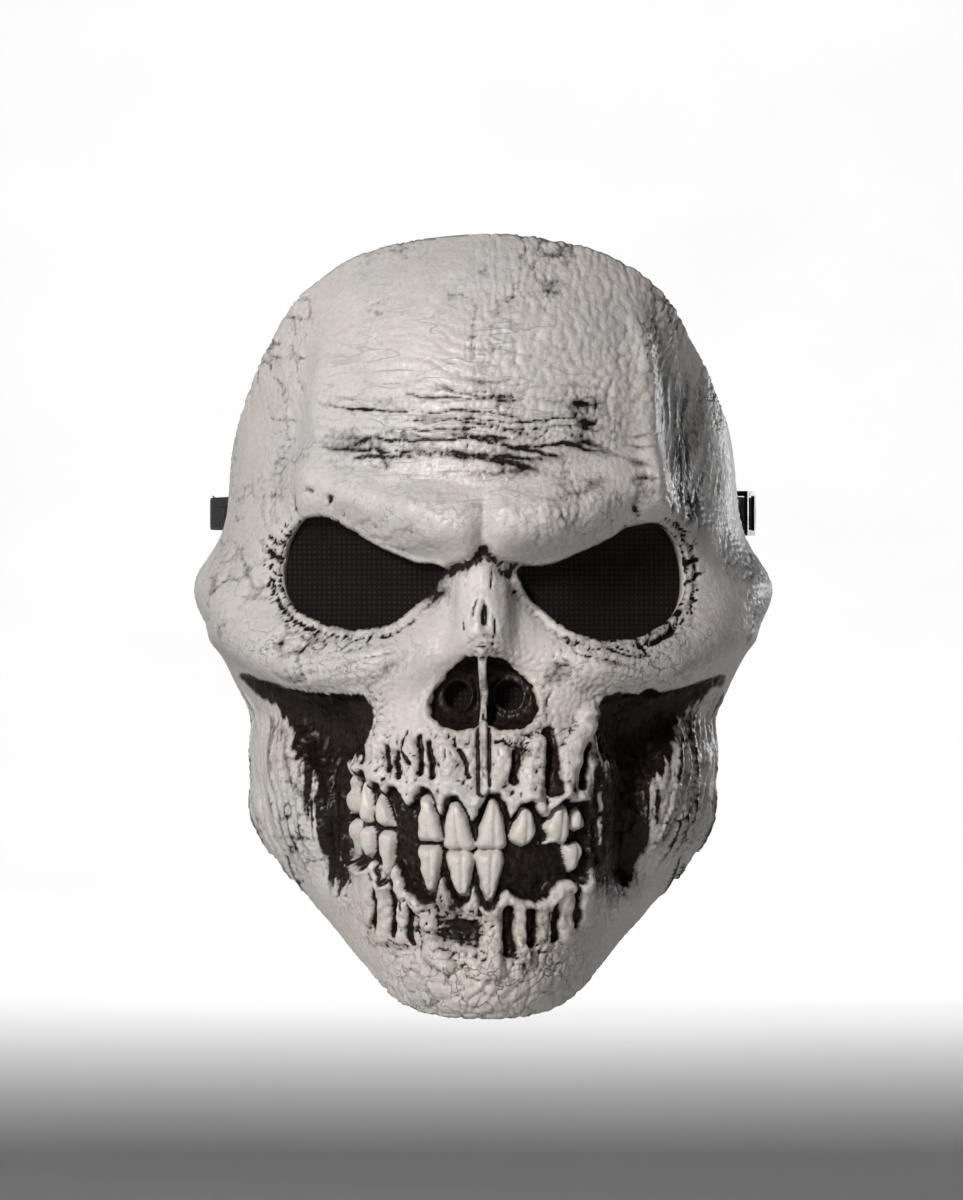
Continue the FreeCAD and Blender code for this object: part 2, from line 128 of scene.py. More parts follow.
HOLLOW = [(-73.0, -50.0), (-58.0, -53.5), (-39.0, -55.0), (-33.5, -59.5), (-32.8, -65.0), (-34.5, -70.5),
          (-40.5, -76.5), (-41.6, -86.0), (-41.0, -97.0), (-42.0, -111.0), (-45.4, -106.0), (-49.3, -96.5),
          (-50.5, -81.0), (-54.5, -75.0), (-58.0, -62.5), (-66.0, -56.5)]
NOSE = [
    (-5.0, -43.8), (-10.5, -48.5), (-15.0, -55.0), (-15.8, -60.0), (-12.0, -64.6), (-4.0, -65.2),
    (0.0, -63.8), (5.0, -65.4), (12.5, -64.6), (16.2, -60.0), (14.6, -53.5), (9.8, -47.8), (3.8, -43.6)]
SEPTUM = [(-0.3, -42.0), (0.4, -56.0), (0.0, -66.0), (0.2, -83.0)]
# the temple's crest, as (Z, X)
CREST = np.array([(-10.0, 58.0), (8.0, 53.0), (22.0, 50.5), (40.0, 49.5), (60.0, 46.0), (80.0, 40.0)])
# dirty patches of the forehead: middle X and Z, half width and height, darkness
DIRT = [
    (-4, 24, 38, 13, 0.4), (-36, 29, 9, 4, 0.9), (-41, 20, 9, 10, 0.7), (28, 26, 7, 7, 1.3),
    (11, 13, 12, 5, 1.0), (35, 17, 13, 5, 0.6), (-12, 17, 26, 6, 0.4), (-8, 33, 24, 9, 0.45),
    (46, 14, 3, 16, 0.5)]


# ---------------------------------------------------------------- small maths
def smooth(low, high, value):
    t = np.clip((value - low) / (high - low), 0, 1)
    return t * t * (3 - 2 * t)


def between(xs, ys, at):
    """Smooth curve through a table, by cubic steps between its rows."""
    i = np.clip(np.searchsorted(xs, at, side="right") - 1, 0, len(xs) - 2)
    k = np.arange(len(xs))
    low, high = np.maximum(k - 1, 0), np.minimum(k + 1, len(xs) - 1)
    slope = (ys[high] - ys[low]) / (xs[high] - xs[low])
    span = xs[i + 1] - xs[i]
    t = (at - xs[i]) / span
    return (ys[i] * (1 + 2 * t) * (1 - t) ** 2 + ys[i + 1] * t * t * (3 - 2 * t)
            + span * (slope[i] * t * (1 - t) ** 2 - slope[i + 1] * t * t * (1 - t)))


def hill(x, z, cx, cz, rx, rz, power=1.0):
    """1 at its middle, falling to nothing outside the ellipse rx, rz; a higher power flattens its top."""
    return np.exp(-(((x - cx) / rx) ** 2 + ((z - cz) / rz) ** 2) ** power)


def to_path(x, z, path):
    """Distance from a line of points."""
    best = np.full(np.shape(x), 1e9)
    for (ax, az), (bx, bz) in zip(path, path[1:]):
        t = ((x - ax) * (bx - ax) + (z - az) * (bz - az)) / ((bx - ax) ** 2 + (bz - az) ** 2)
        t = np.clip(t, 0, 1)
        best = np.minimum(best, np.hypot(x - ax - t * (bx - ax), z - az - t * (bz - az)))
    return best


def ridge(x, z, path, wide, power=2):
    return np.exp(-(to_path(x, z, path) / wide) ** power)


def peak(value, middle, wide):
    """1 where the value is middle, falling to nothing on both sides of it."""
    return np.exp(-((value - middle) / wide) ** 2)


def rounded(points, steps=8):
    """Closed smooth curve through the points."""
    p = np.array(points, float)
    before, after, beyond = np.roll(p, 1, 0), np.roll(p, -1, 0), np.roll(p, -2, 0)
    out = []
    for t in np.arange(steps) / steps:
        out.append(0.5 * (2 * p + (after - before) * t + (2 * before - 5 * p + 4 * after - beyond) * t ** 2
                          + (3 * p - before - 3 * after + beyond) * t ** 3))
    return np.stack(out, 1).reshape(-1, 2)


def outside(x, z, points):
    """Signed distance from a closed outline, positive outside it."""
    p = rounded(points)
    loop = [tuple(q) for q in p] + [tuple(p[0])]
    inside = np.zeros(np.shape(x), bool)
    for (ax, az), (bx, bz) in zip(loop, loop[1:]):
        if az != bz:
            crosses = ((az > z) != (bz > z)) & (x < (bx - ax) * (z - az) / (bz - az) + ax)
            inside ^= crosses
    return np.where(inside, -1, 1) * to_path(x, z, loop)


def noise(u, v, seed):
    """Smooth random values, about -1 to 1, one bump per unit. Each use has a seed of its own."""
    table = np.random.default_rng(SEED * 1000 + seed).uniform(-1, 1, (TABLE, TABLE))
    i, j = np.floor(u).astype(int), np.floor(v).astype(int)
    s, t = smooth(0, 1, u - i), smooth(0, 1, v - j)
    a, b, c, d = (table[(i + k) % TABLE, (j + m) % TABLE] for m in (0, 1) for k in (0, 1))
    return (a * (1 - s) + b * s) * (1 - t) + (c * (1 - s) + d * s) * t


def rough(u, v, seed, octaves=3):
    total = sum(noise(u * 2 ** k, v * 2 ** k, seed + k) / 2 ** k for k in range(octaves))
    return total / 1.5


def creases(u, v, seed, octaves=2):
    """Thin dark lines between rounded folds: 1 on a line, 0 away from it."""
    finer = [1.9 ** k for k in range(octaves)]
    total = sum((1 - np.abs(noise(u * f, v * f, seed + k))) ** 7 / 1.6 ** k for k, f in enumerate(finer))
    return np.clip(total, 0, 1)


def pebbles(u, v, seed):
    """Distance to the nearest of scattered points, one per unit, and how much farther the second is."""
    table = np.random.default_rng(SEED * 1000 + seed).uniform(0.1, 0.9, (TABLE, TABLE, 2))
    i, j = np.floor(u).astype(int), np.floor(v).astype(int)
    first = np.full(np.shape(u), 9.0)
    second = np.full(np.shape(u), 9.0)
    for di in (-1, 0, 1):
        for dj in (-1, 0, 1):
            spot = table[(i + di) % TABLE, (j + dj) % TABLE]
            far = np.hypot(i + di + spot[..., 0] - u, j + dj + spot[..., 1] - v)
            second = np.minimum(second, np.maximum(first, far))
            first = np.minimum(first, far)
    return first, second - first


def shifts(field, axis, reach):
    """The field moved along an axis by each whole number of cells up to reach, both ways."""
    pad = [(reach, reach) if a == axis else (0, 0) for a in (0, 1)]
    wide = np.pad(field, pad, mode="edge")
    return [np.take(wide, range(k, k + field.shape[axis]), axis) for k in range(2 * reach + 1)]


def blur(field, cells):
    """Soften a field over this many grid cells each way."""
    reach = int(3 * cells)
    weights = np.exp(-0.5 * (np.arange(-reach, reach + 1) / cells) ** 2)
    weights /= weights.sum()
    for axis in (0, 1):
        field = sum(w * moved for w, moved in zip(weights, shifts(field, axis, reach)))
    return field


def lowest(field, cells):
    """Least value within this many cells each way."""
    for axis in (0, 1):
        field = np.minimum.reduce(shifts(field, axis, cells))
    return field


# ---------------------------------------------------------------- the face
def bones(x, z):
    """How far the bones stand out from the bare head form, as in the CAD."""
    x = np.abs(x)
    out = 5.0 * ridge(x, z, [(7, -6), (28, 1), (50, 9)], 8.0)
    out += 2.5 * hill(x, z, 0, 0, 12, 11)
    out -= 1.5 * hill(x, z, 64, 28, 12, 20)
    out -= 7.5 * hill(x, z, 38, -20, 27, 18, 2.0)
    out -= 4.0 * hill(x, z, 17, -27, 8, 9)
    out += 8.0 * hill(x, z, 0, -32, 9, 16, 1.5) * smooth(-2, -30, z)
    out -= 9.0 * hill(x, z, 0, -55, 15, 11, 2.0)
    out += 6.5 * ridge(x, z, [(30, -45), (50, -46), (68, -36), (84, -22)], 10.0)
    out -= 6.0 * hill(x, z, 55, -62, 17, 8)
    out -= 7.0 * ridge(x, z, [(49, -70), (46, -84), (45, -106)], 7.0)
    out += 6.0 * hill(x, z, 0, -94, 42, 32, 2.0)
    out += 4.0 * hill(x, z, 0, -140, 25, 12)
    return out


def face_points(angle, z):
    """Outer surface of the CAD shell at an angle round the head and a height."""
    half, front, widest = (between(LEVELS[:, 0], LEVELS[:, c], z) for c in (1, 2, 3))
    a = np.radians(angle)
    out = bones(half * np.sin(a), z)
    reach = np.where(np.abs(angle) < 90, widest - front + out, BACK_REACH)
    return np.stack([(half + out) * np.sin(a), widest - reach * np.cos(a), z], -1)


def normals(points):
    """Outward normals of a grid of points."""
    up = np.gradient(points, axis=0)
    along = np.gradient(points, axis=1)
    n = np.cross(along, up)
    return n / np.linalg.norm(n, axis=-1, keepdims=True)


def eye_distance(x, z):
    return np.minimum(outside(x, z, EYES["left"]), outside(x, z, EYES["right"]))


def keep_field(angle, z):
    """Millimetres inside the material: positive on the shell, negative past the rim and in the openings."""
    p = face_points(angle, z)
    field = between(RIM[:, 1], RIM[:, 0], np.clip(z, RIM[0, 1], RIM[-1, 1])) - p[..., 1]
    for outline in EYES.values():
        field = np.minimum(field, outside(p[..., 0], z, outline))
    for cx, cz in NOSTRILS:
        field = np.minimum(field, np.hypot(p[..., 0] - cx, z - cz) - NOSTRIL_R)
    return field


def spaced(low, high, spacing, samples=4000):
    """Values from low to high whose steps follow spacing(value)."""
    at = np.linspace(low, high, samples)
    count = np.concatenate([[0], np.cumsum((at[1] - at[0]) / spacing(at[1:]))])
    return np.interp(np.linspace(0, count[-1], int(count[-1]) + 1), count, at)


def shell_grid():
    """Angles and heights of the surface points, denser over the teeth and the front of the face."""
    angles = spaced(-ANGLE_LIMIT, ANGLE_LIMIT, lambda a: 0.36 + 0.28 * smooth(34, 62, np.abs(a)))
    heights = spaced(LEVELS[0, 0] + 1, LEVELS[-1, 0] - 1,
                     lambda z: 0.52 + 0.10 * smooth(-42, -30, z) * smooth(4, -8, z) + 0.20 * smooth(42, 55, z)
                     + 0.16 * smooth(-128, -140, z))
    angle, z = np.meshgrid(angles, heights)
    return snap(angle, z, keep_field)


SNAP_REACH, SNAP_STEP = 0.55, 0.7       # in grid cells: what is moved, and how far at most in one step


def snap(angle, z, field):
    """Move the points next to the field's zero line onto it, so that cut edges run smooth."""
    f = field(angle, z)
    rise, run = np.gradient(f)
    steep = rise ** 2 + run ** 2 + 1e-12
    near = np.abs(f) < SNAP_REACH * np.sqrt(steep)
    dz, da = np.gradient(z, axis=0), np.gradient(angle, axis=1)
    for _ in range(2):
        move = -f[near] / steep[near]
        angle[near] += np.clip(move * run[near], -SNAP_STEP, SNAP_STEP) * da[near]
        z[near] += np.clip(move * rise[near], -SNAP_STEP, SNAP_STEP) * dz[near]
        f[near] = field(angle[near], z[near])
    f[near] = 0
    return angle, z, f


def faces_of(inside):
    """Quads, and triangles along the cut, of the grid cells whose corners are inside."""
    rows, cols = inside.shape
    number = np.arange(rows * cols).reshape(rows, cols)
    corner = [number[:-1, :-1], number[:-1, 1:], number[1:, 1:], number[1:, :-1]]
    good = [inside[:-1, :-1], inside[:-1, 1:], inside[1:, 1:], inside[1:, :-1]]
    count = sum(g.astype(int) for g in good)
    quads = np.stack([c[count == 4] for c in corner], -1)
    triangles = []
    for missing in range(4):
        here = (count == 3) & ~good[missing]
        triangles.append(np.stack([corner[k][here] for k in range(4) if k != missing], -1))
    return quads, np.concatenate(triangles)


def edge_loops(quads, triangles):
    """Edges with a face on one side only, in that face's direction."""
    pairs = [np.stack([quads[:, k], quads[:, (k + 1) % 4]], -1) for k in range(4)]
    pairs += [np.stack([triangles[:, k], triangles[:, (k + 1) % 3]], -1) for k in range(3)]
    pairs = np.concatenate(pairs)
    key = np.sort(pairs, 1)
    number = key[:, 0] * (key.max() + 1) + key[:, 1]
    _, index, count = np.unique(number, return_index=True, return_counts=True)
    return pairs[index[count == 1]]


def skin_mesh(name, outer, inner, inside, values, materials):
    """Closed mesh between two grids of points, with materials for its outside, inside and cut edge."""
    quads, triangles = faces_of(inside)
    total = inside.size
    edge = edge_loops(quads, triangles)
    walls = np.stack([edge[:, 1], edge[:, 0], edge[:, 0] + total, edge[:, 1] + total], -1)
    marks = [0] * len(quads) + [1] * len(quads) + [2] * len(walls)
    marks += [0] * len(triangles) + [1] * len(triangles)
    quads = np.concatenate([quads, quads[:, ::-1] + total, walls])
    triangles = np.concatenate([triangles, triangles[:, ::-1] + total])
    used = np.unique(np.concatenate([quads.ravel(), triangles.ravel()]))
    place = np.zeros(2 * total, int)
    place[used] = np.arange(len(used))
    points = np.concatenate([outer.reshape(-1, 3), inner.reshape(-1, 3)])[used]
    body = from_arrays(name, points, place[quads], place[triangles], marks)
    for label, value in values.items():
        both = np.concatenate([value.ravel(), value.ravel()])[used]
        body.data.attributes.new(label, "FLOAT", "POINT").data.foreach_set("value", both.astype(np.float32))
    for made in materials:
        body.data.materials.append(made)
    return body


def from_arrays(name, points, quads, triangles=(), marks=None):
    """Smooth-shaded mesh object from points in millimetres and faces."""
    triangles = np.array(triangles, int).reshape(-1, 3)
    mesh = bpy.data.meshes.new(name)
    mesh.vertices.add(len(points))
    mesh.vertices.foreach_set("co", np.ravel(points) * MM)
    corners = np.concatenate([quads.ravel(), triangles.ravel()])
    mesh.loops.add(len(corners))
    mesh.loops.foreach_set("vertex_index", corners)
    starts = np.concatenate([np.arange(len(quads)) * 4, 4 * len(quads) + np.arange(len(triangles)) * 3])
    mesh.polygons.add(len(starts))
    mesh.polygons.foreach_set("loop_start", starts)
    mesh.polygons.foreach_set("use_smooth", np.ones(len(starts), bool))
    if marks is not None:
        mesh.polygons.foreach_set("material_index", np.array(marks, np.int32))
    mesh.update(calc_edges=True)
    return linked(name, mesh)


def linked(name, data):
    """New object in the scene."""
    made = bpy.data.objects.new(name, data)
    bpy.context.scene.collection.objects.link(made)
    return made


# ---------------------------------------------------------------- the sculpt: each returns (height, stain and painted shade)
# Places, widths and heights are millimetres as seen from the front; arc is the distance round the head.
def brows(x, z):
    side = np.abs(x)
    wander = 1.1 * noise(x / 4, z / 4, 171)
    notch = ridge(x, z + wander, [(-16, -19.5), (-7, -18), (0, -14), (7, -18), (16, -19.5)], 1.9)
    middle = ridge(x + wander, z, [(-0.5, -14), (0.5, 2)], 2.6) * smooth(6, -6, z)
    end = hill(side, z, 51, 1.0, 4.2, 3.4, 1.5)
    broken = np.clip(0.3 + 1.2 * noise(x / 3, z / 3, 172), 0, 1)
    from_end = np.hypot((side - 51) / 1.3, z - 0.4) + wander
    ring = peak(from_end, 4.6, 0.9) * smooth(-4, 1, z) * broken
    lobes = rough(x / 7, z / 6, 173, 2) * hill(side, z, 24, -2, 22, 9, 2.0)
    height = 3.2 * hill(side, z, 20, -4, 17, 9, 1.2)
    height += 1.3 * end - 2.3 * notch - 0.9 * ring - 1.1 * middle + 0.9 * lobes
    # 0.35 * notch is painted shade in the fold at the root of the nose
    return height, 0.35 * notch + 0.3 * ring


def eye_rims(x, z, away):
    side = np.abs(x)
    low = smooth(-4, -16, z - 0.28 * (side - 38))
    lip = peak(away, 1.3, 0.8) * (0.35 + 0.65 * low)
    groove = peak(away, 3.2, 0.9) * low
    ragged = np.clip(0.55 + 0.6 * rough(x / 6, z / 5, 11), 0, 1)
    outer = smooth(44, 54, side) * smooth(-2, -8, z) * smooth(7.5, 2.0, away)
    torn = creases((x + z) / 5.5 + noise(x / 5, z / 5, 13), (z - 0.6 * side) / 3.2, 12)
    crumbs = smooth(0.25, 0.9, torn) * outer
    stain_and_shade = np.exp(-np.maximum(away, 0) / 0.8) * 0.45 + groove * ragged * 0.25 + 0.75 * crumbs
    # corner: a dent at each inner eye corner under the brow, darkened with painted shade
    corner = hill(side, z, 15.5, -24, 4.5, 5)
    stain_and_shade += corner * (0.3 + 0.6 * ragged)
    return 0.9 * lip - 0.5 * groove * ragged - 1.4 * corner - 1.3 * crumbs, stain_and_shade


def nose(x, z):
    edge = outside(x, z, NOSE) + 0.5 * noise(x / 1.8, z / 1.8, 22)
    cavity = smooth(0.4, -1.8, edge)
    height = -2.0 * cavity + 1.1 * peak(edge, 1.4, 1.1) * smooth(-46, -54, z)
    for cx, cz in NOSTRILS:
        height += 1.5 * peak(np.hypot(x - cx, z - cz) - NOSTRIL_R, 0.9, 0.75)
    wall = smooth(1.7, 0.7, to_path(x, z, SEPTUM))
    height += wall * np.where(edge < 0, 8.0 * cavity, 0.9 + 0.4 * rough(x, z / 3, 21))
    pit = hill(x, z, 0.4, -31.5, 1.2, 3.4)
    wander = 1.2 * noise(x / 3, z / 5, 24)
    bridge = hill(x, z, 0, -28, 9.5, 12, 2.0)
    split = np.clip(0.35 + 1.2 * noise(x / 3, z / 7, 25), 0, 1)
    grooves = (0.5 + 0.5 * np.cos((x + wander) * math.tau / 2.7)) ** 4 * bridge * split
    height += 0.7 * noise(x / 2.6, z / 5.5, 26) * hill(x, z, 0, -30, 8, 12, 2.0)
    height -= 1.9 * pit + 0.9 * grooves
    side = ridge(np.abs(x), z, [(10, -22), (10.5, -36)], 2.2)
    beside = smooth(2.6, 1.6, to_path(x, z, SEPTUM)) * (1 - wall) * smooth(-64, -66, z)
    crumbs = peak(edge, 0.9, 1.3) * np.clip(noise(x / 0.9, z / 0.9, 23), 0, 1) * smooth(-50, -60, z)
    height += 0.7 * crumbs - 0.9 * beside
    return height - 1.0 * side, cavity * (1 - 0.8 * wall) + 0.9 * pit + 0.4 * grooves + 0.5 * beside


def cheeks(x, z, arc):
    side = np.abs(x)
    swirl = np.hypot((x + 56) / 1.4, z + 46)
    height = 1.3 * peak(swirl, 0, 3.0) - 0.7 * peak(swirl, 4.6, 0.8)
    height += 1.8 * ridge(side, z, [(36, -47), (52, -49.5), (66, -46), (80, -38)], 4.2)
    wrinkle = creases(arc / 14, (z + 0.25 * side) / 3.4, 31) * hill(side, z, 47, -42, 20, 7)
    return height - 0.9 * wrinkle, 0.5 * wrinkle


def hollows(x, z, arc):
    edge = outside(-np.abs(x), z, HOLLOW) + 1.0 * noise(x / 3.3, z / 6, 43)
    streak = noise(arc / 0.9, z / 11, 41) + 0.6 * noise(arc / 2.3, z / 24, 42)
    scrape = rough(arc / 1.4, z / 3.2, 44)
    depth = smooth(0.8, -4.5, edge)
    height = -3.6 * depth + (0.55 * streak + 0.6 * scrape) * smooth(1.5, -1.5, edge)
    stain_and_shade = smooth(1.4, -0.9, edge + 1.6 * streak * smooth(-52, -62, z))
    below = smooth(-100, -112, z) * smooth(6.0, 0.0, edge) * np.clip(streak, 0, 1)
    side = smooth(7.0, 0.5, edge) * smooth(0.35, 0.9, streak + 0.4 * scrape) * smooth(-56, -64, z)
    beside = hill(x, z, 37.5, -92, 8.0, 23, 2.0)
    height += (0.5 * streak + 0.5 * scrape - 1.4) * beside
    torn = beside * np.clip(0.9 + 0.7 * streak + 0.4 * scrape, 0, 1)
    return height, np.maximum.reduce([stain_and_shade, 0.8 * below, 0.7 * side, torn])


def tooth(x, z, low, high, bite, root, shift):
    """Millimetres inside a tooth: flat at the biting edge, pointed at the root."""
    length = abs(root - bite)
    t = (z - bite) / (root - bite)
    middle = (low + high) / 2 + shift * t
    half = ((high - low) / 2 + 0.7) * (1 - 0.68 * np.clip(t, 0, 1) ** 1.5)
    across = half - np.abs(x - middle)
    along = np.minimum(t * length + 0.5, (1 - t) * length * 0.8)
    return np.minimum(across, along) - 0.6 * np.exp(-np.abs(across - along) / 0.9)


def mouth(x, z):
    """Black pocket between the jaws with the teeth standing in it."""
    edge = outside(x, z, MOUTH) + 0.45 * noise(x / 1.7, z / 1.7, 61)
    pocket = smooth(0.35, -0.9, edge)
    inside = np.full(np.shape(x), -9.0)
    fangs = np.zeros(np.shape(x))
    for n, (low, high, bite, root, shift) in enumerate(UPPER_TEETH + LOWER_TEETH):
        wobble = 0.4 * noise(x / 2.4 + n * 3, z / 2.6, 50 + n)
        d = tooth(x, z, low, high, bite, root, shift) + wobble
        if n == ROUND_TOOTH:
            d = np.minimum(d, 6.0 - np.hypot((x - 11.6) / 0.8, z + 93.4) + wobble)
        if n == HOLED_TOOTH:
            worn_tip = 0.8 * smooth(-93, -99, z) * np.abs(noise(x, z, 71))
            d -= 2.4 * hill(x, z, 18.6, -96.4, 1.7, 1.5) + worn_tip
        crown = smooth(-0.45, 1.4, d) * (3.5 + 0.9 * smooth(0.5, 3.4, d))
        middle = (low + high) / 2
        crown -= 0.5 * ridge(x, z, [(middle + shift * 0.3 + 0.9, bite), (middle + shift, root)], 0.5)
        fangs = np.maximum(fangs, crown)
        inside = np.maximum(inside, d)
    enamel = smooth(-0.35, 0.35, inside)
    lip = 1.1 * peak(edge, 1.3, 1.2)
    floor = 0.35 * noise(x / 1.3, z / 2.2, 63) * pocket
    outline = peak(inside, -0.55, 0.4) * (1 - pocket)
    height = (-3.9 * pocket + lip + floor - 1.3 * outline) * (1 - enamel) + (fangs - 3.7) * enamel
    stain_and_shade = np.maximum(np.clip(pocket * 1.3, 0, 1), 0.85 * outline) * (1 - enamel)
    return height, stain_and_shade, enamel


def roots(x, z):
    height = np.zeros(np.shape(x))
    for n, (path, wide, tall) in enumerate(ROOTS):
        bend = 0.8 * noise(z / 4 + n * 5, x / 9, 80 + n)
        column = ridge(x + bend, z, path, wide, 4)
        height = np.maximum(height, tall * column * (1 + 0.3 * noise(x / 3, z / 2.5, 90 + n)))
    band = hill(x, z, -2, -75, 40, 9, 2.0) + hill(x, z, -2, -121, 36, 11, 2.0)
    bent = 1.3 * noise(x / 4, z / 4, 104)
    _, gap = pebbles((x + bent) / 3.1, (z + bent) / 5.4, 101)
    cracked = np.maximum(hill(x, z, -22, -73, 15, 8, 2.0), hill(x, z, -28, -119, 12, 9, 2.0))
    height += 0.9 * (smooth(0.02, 0.4, gap) - 0.6) * band * (0.35 + 0.65 * cracked)
    cleft = np.zeros(np.shape(x))
    for n, (path, wide) in enumerate(CLEFTS):
        bend = 0.6 * noise(z / 3 + n * 7, x / 5, 120 + n)
        cleft = np.maximum(cleft, ridge(x + bend, z, path, wide, 4))
    low_ground = np.clip(0.75 - height, 0, 1) * band
    dent = hill(x, z, -6, -123.8, 6.4, 4.2, 1.7)
    crack = creases((x + bent) / 7, z / 1.6, 103)
    height -= 1.4 * dent + 1.9 * cleft + 0.8 * dent * crack
    return height, 0.38 * low_ground + dent * (0.3 + 0.6 * crack) + 0.95 * cleft


def folds(x, z, spacing, seed):
    """Long wavering lines across the face that fade in and out: 1 on a line."""
    drift = (5.0 * noise(x / 24, z / 19, seed) + 1.5 * noise(x / 8.3, z / 7, seed + 1)
             + 0.45 * noise(x / 2.3, z / 2.9, seed + 2))
    wave = (0.5 + 0.5 * np.cos((z + drift) * math.tau / spacing)) ** 3.5
    fade = noise(x / 17 + 0.4 * noise(x / 5, z / 4, seed + 4), (z + drift) / spacing, seed + 3)
    return wave * smooth(-0.6, 0.5, fade)


def forehead(x, z):
    lines = np.maximum(folds(x, z, 3.5, 112), 0.85 * folds(x, z + 0.14 * x, 5.3, 181))
    belt = hill(x, z, -6, 24, 43, 17, 2.0)
    upper = hill(x, z, -12, 50, 36, 18, 2.0)
    u, v = x / 2.7 + 0.5 * noise(x / 5, z / 5, 116), z / 2.5 + 0.5 * noise(x / 6, z / 6, 115)
    first, gap = pebbles(u, v, 117)
    pebbly = smooth(-6, 12, x + 0.12 * (z - 30)) * smooth(16, 34, z) * smooth(60, 52, x)
    over_eyes = 0.8 * hill(np.abs(x), z, 24, -3, 24, 9, 2.0)
    scaly = np.maximum(pebbly, over_eyes + 0.35 * hill(x, z, 25, 20, 22, 14, 2.0))
    height = -0.75 * lines * belt - 0.35 * lines * upper + 0.8 * (0.55 - 1.3 * first ** 2) * scaly
    dirty = sum(dark * hill(x, z, cx, cz, rx, rz) for cx, cz, rx, rz, dark in DIRT)
    patch = np.clip(rough(x / 7, z / 3.2, 118) * 0.6 + 0.40, 0, 1)
    stain_and_shade = dirty * (0.5 * lines + 0.42 * patch) + 0.07 * (1 - smooth(0.0, 0.2, gap)) * scaly
    return height, stain_and_shade


def temples(x, z, arc):
    """A crest and a sunk plane behind it, both stronger on the +X side, whose plane also has painted shade.
    """
    side, right = np.abs(x), x > 0
    line = between(CREST[:, 0], CREST[:, 1], np.clip(z, CREST[0, 0], CREST[-1, 0]))
    high = smooth(-6, 8, z) * smooth(66, 44, z)
    crest = peak(side - line, -1.5, 3.0) * high
    plane = smooth(0, 7, side - line) * smooth(24, 12, side - line) * high
    bent = np.abs(arc) - 0.28 * z + 2.2 * noise(arc / 11, z / 13, 124)
    streaks = noise(bent / 2.8, z / 17, 121) + 0.6 * noise(bent / 1.3, z / 9, 122)
    lines = smooth(0.35, 0.8, streaks) * smooth(48, 60, side) * smooth(-30, -10, z)
    # painted shade: the +X temple plane is darkened as if turned away from the light
    painted_shade = np.where(right, 0.52, 0.0) * plane * np.clip(0.8 + 0.8 * streaks, 0, 1) * smooth(50, 30, z)
    faint = 0.16 * lines * smooth(60, 10, z) * (0.5 + 0.5 * noise(arc / 8, z / 12, 123))
    height = np.where(right, 1.9, 0.9) * crest - np.where(right, 3.4, 1.3) * plane
    return height - 0.35 * lines + 0.3 * streaks * plane, faint + painted_shade


def jaw_sides(x, z, arc):
    edge = outside(-np.abs(x), z, HOLLOW)
    where = smooth(48, 56, np.abs(x)) * smooth(-50, -58, z) * smooth(0, 4, edge) * smooth(-128, -112, z)
    bent = np.abs(arc) - 0.32 * z + 1.2 * noise(arc / 7, z / 8, 133)
    streaks = noise(bent / 1.1, z / 11, 131) + 0.6 * noise(bent / 2.4, z / 16, 132)
    strong = np.where(x > 0, 2.2, 1.5)
    return 0.42 * streaks * where * strong, 0.3 * smooth(0.3, 1.0, streaks) * where * strong


def chin(x, z):
    where = hill(x, z, 0, -141, 34, 13, 2.0)
    _, gap = pebbles(x / 6.5 + 0.5 * noise(x / 7, z / 7, 141), z / 5.5, 142)
    ripple = np.hypot((x + 4.5) / 1.2, z + 139) + 0.8 * noise(x / 5, z / 5, 143)
    curl = 0.28 * np.cos(ripple * math.tau / 3.1) * hill(x, z, -4, -138, 15, 10, 2.0)
    height = 0.6 * (smooth(0, 0.35, gap) - 0.5) * where + curl
    return height, 0.18 * (1 - smooth(0, 0.12, gap)) * where


def skin_grain(x, z, arc):
    """Lumps and pores that the whole face has."""
    _, gap = pebbles(arc / 2.3 + 0.5 * noise(x / 4, z / 4, 151), z / 2.1, 152)
    broad = rough(arc / 13, z / 13, 153, 2)
    patchy = smooth(-0.1, 0.6, rough(arc / 16, z / 16, 155, 2))
    worn = creases(arc / 7 + 0.4 * noise(x / 6, z / 6, 157), z / 6, 158)
    height = 0.45 * broad + 0.3 * (smooth(0, 0.4, gap) - 0.5) * (0.4 + patchy) - 0.35 * worn * patchy
    return height, 0.4 * worn * patchy


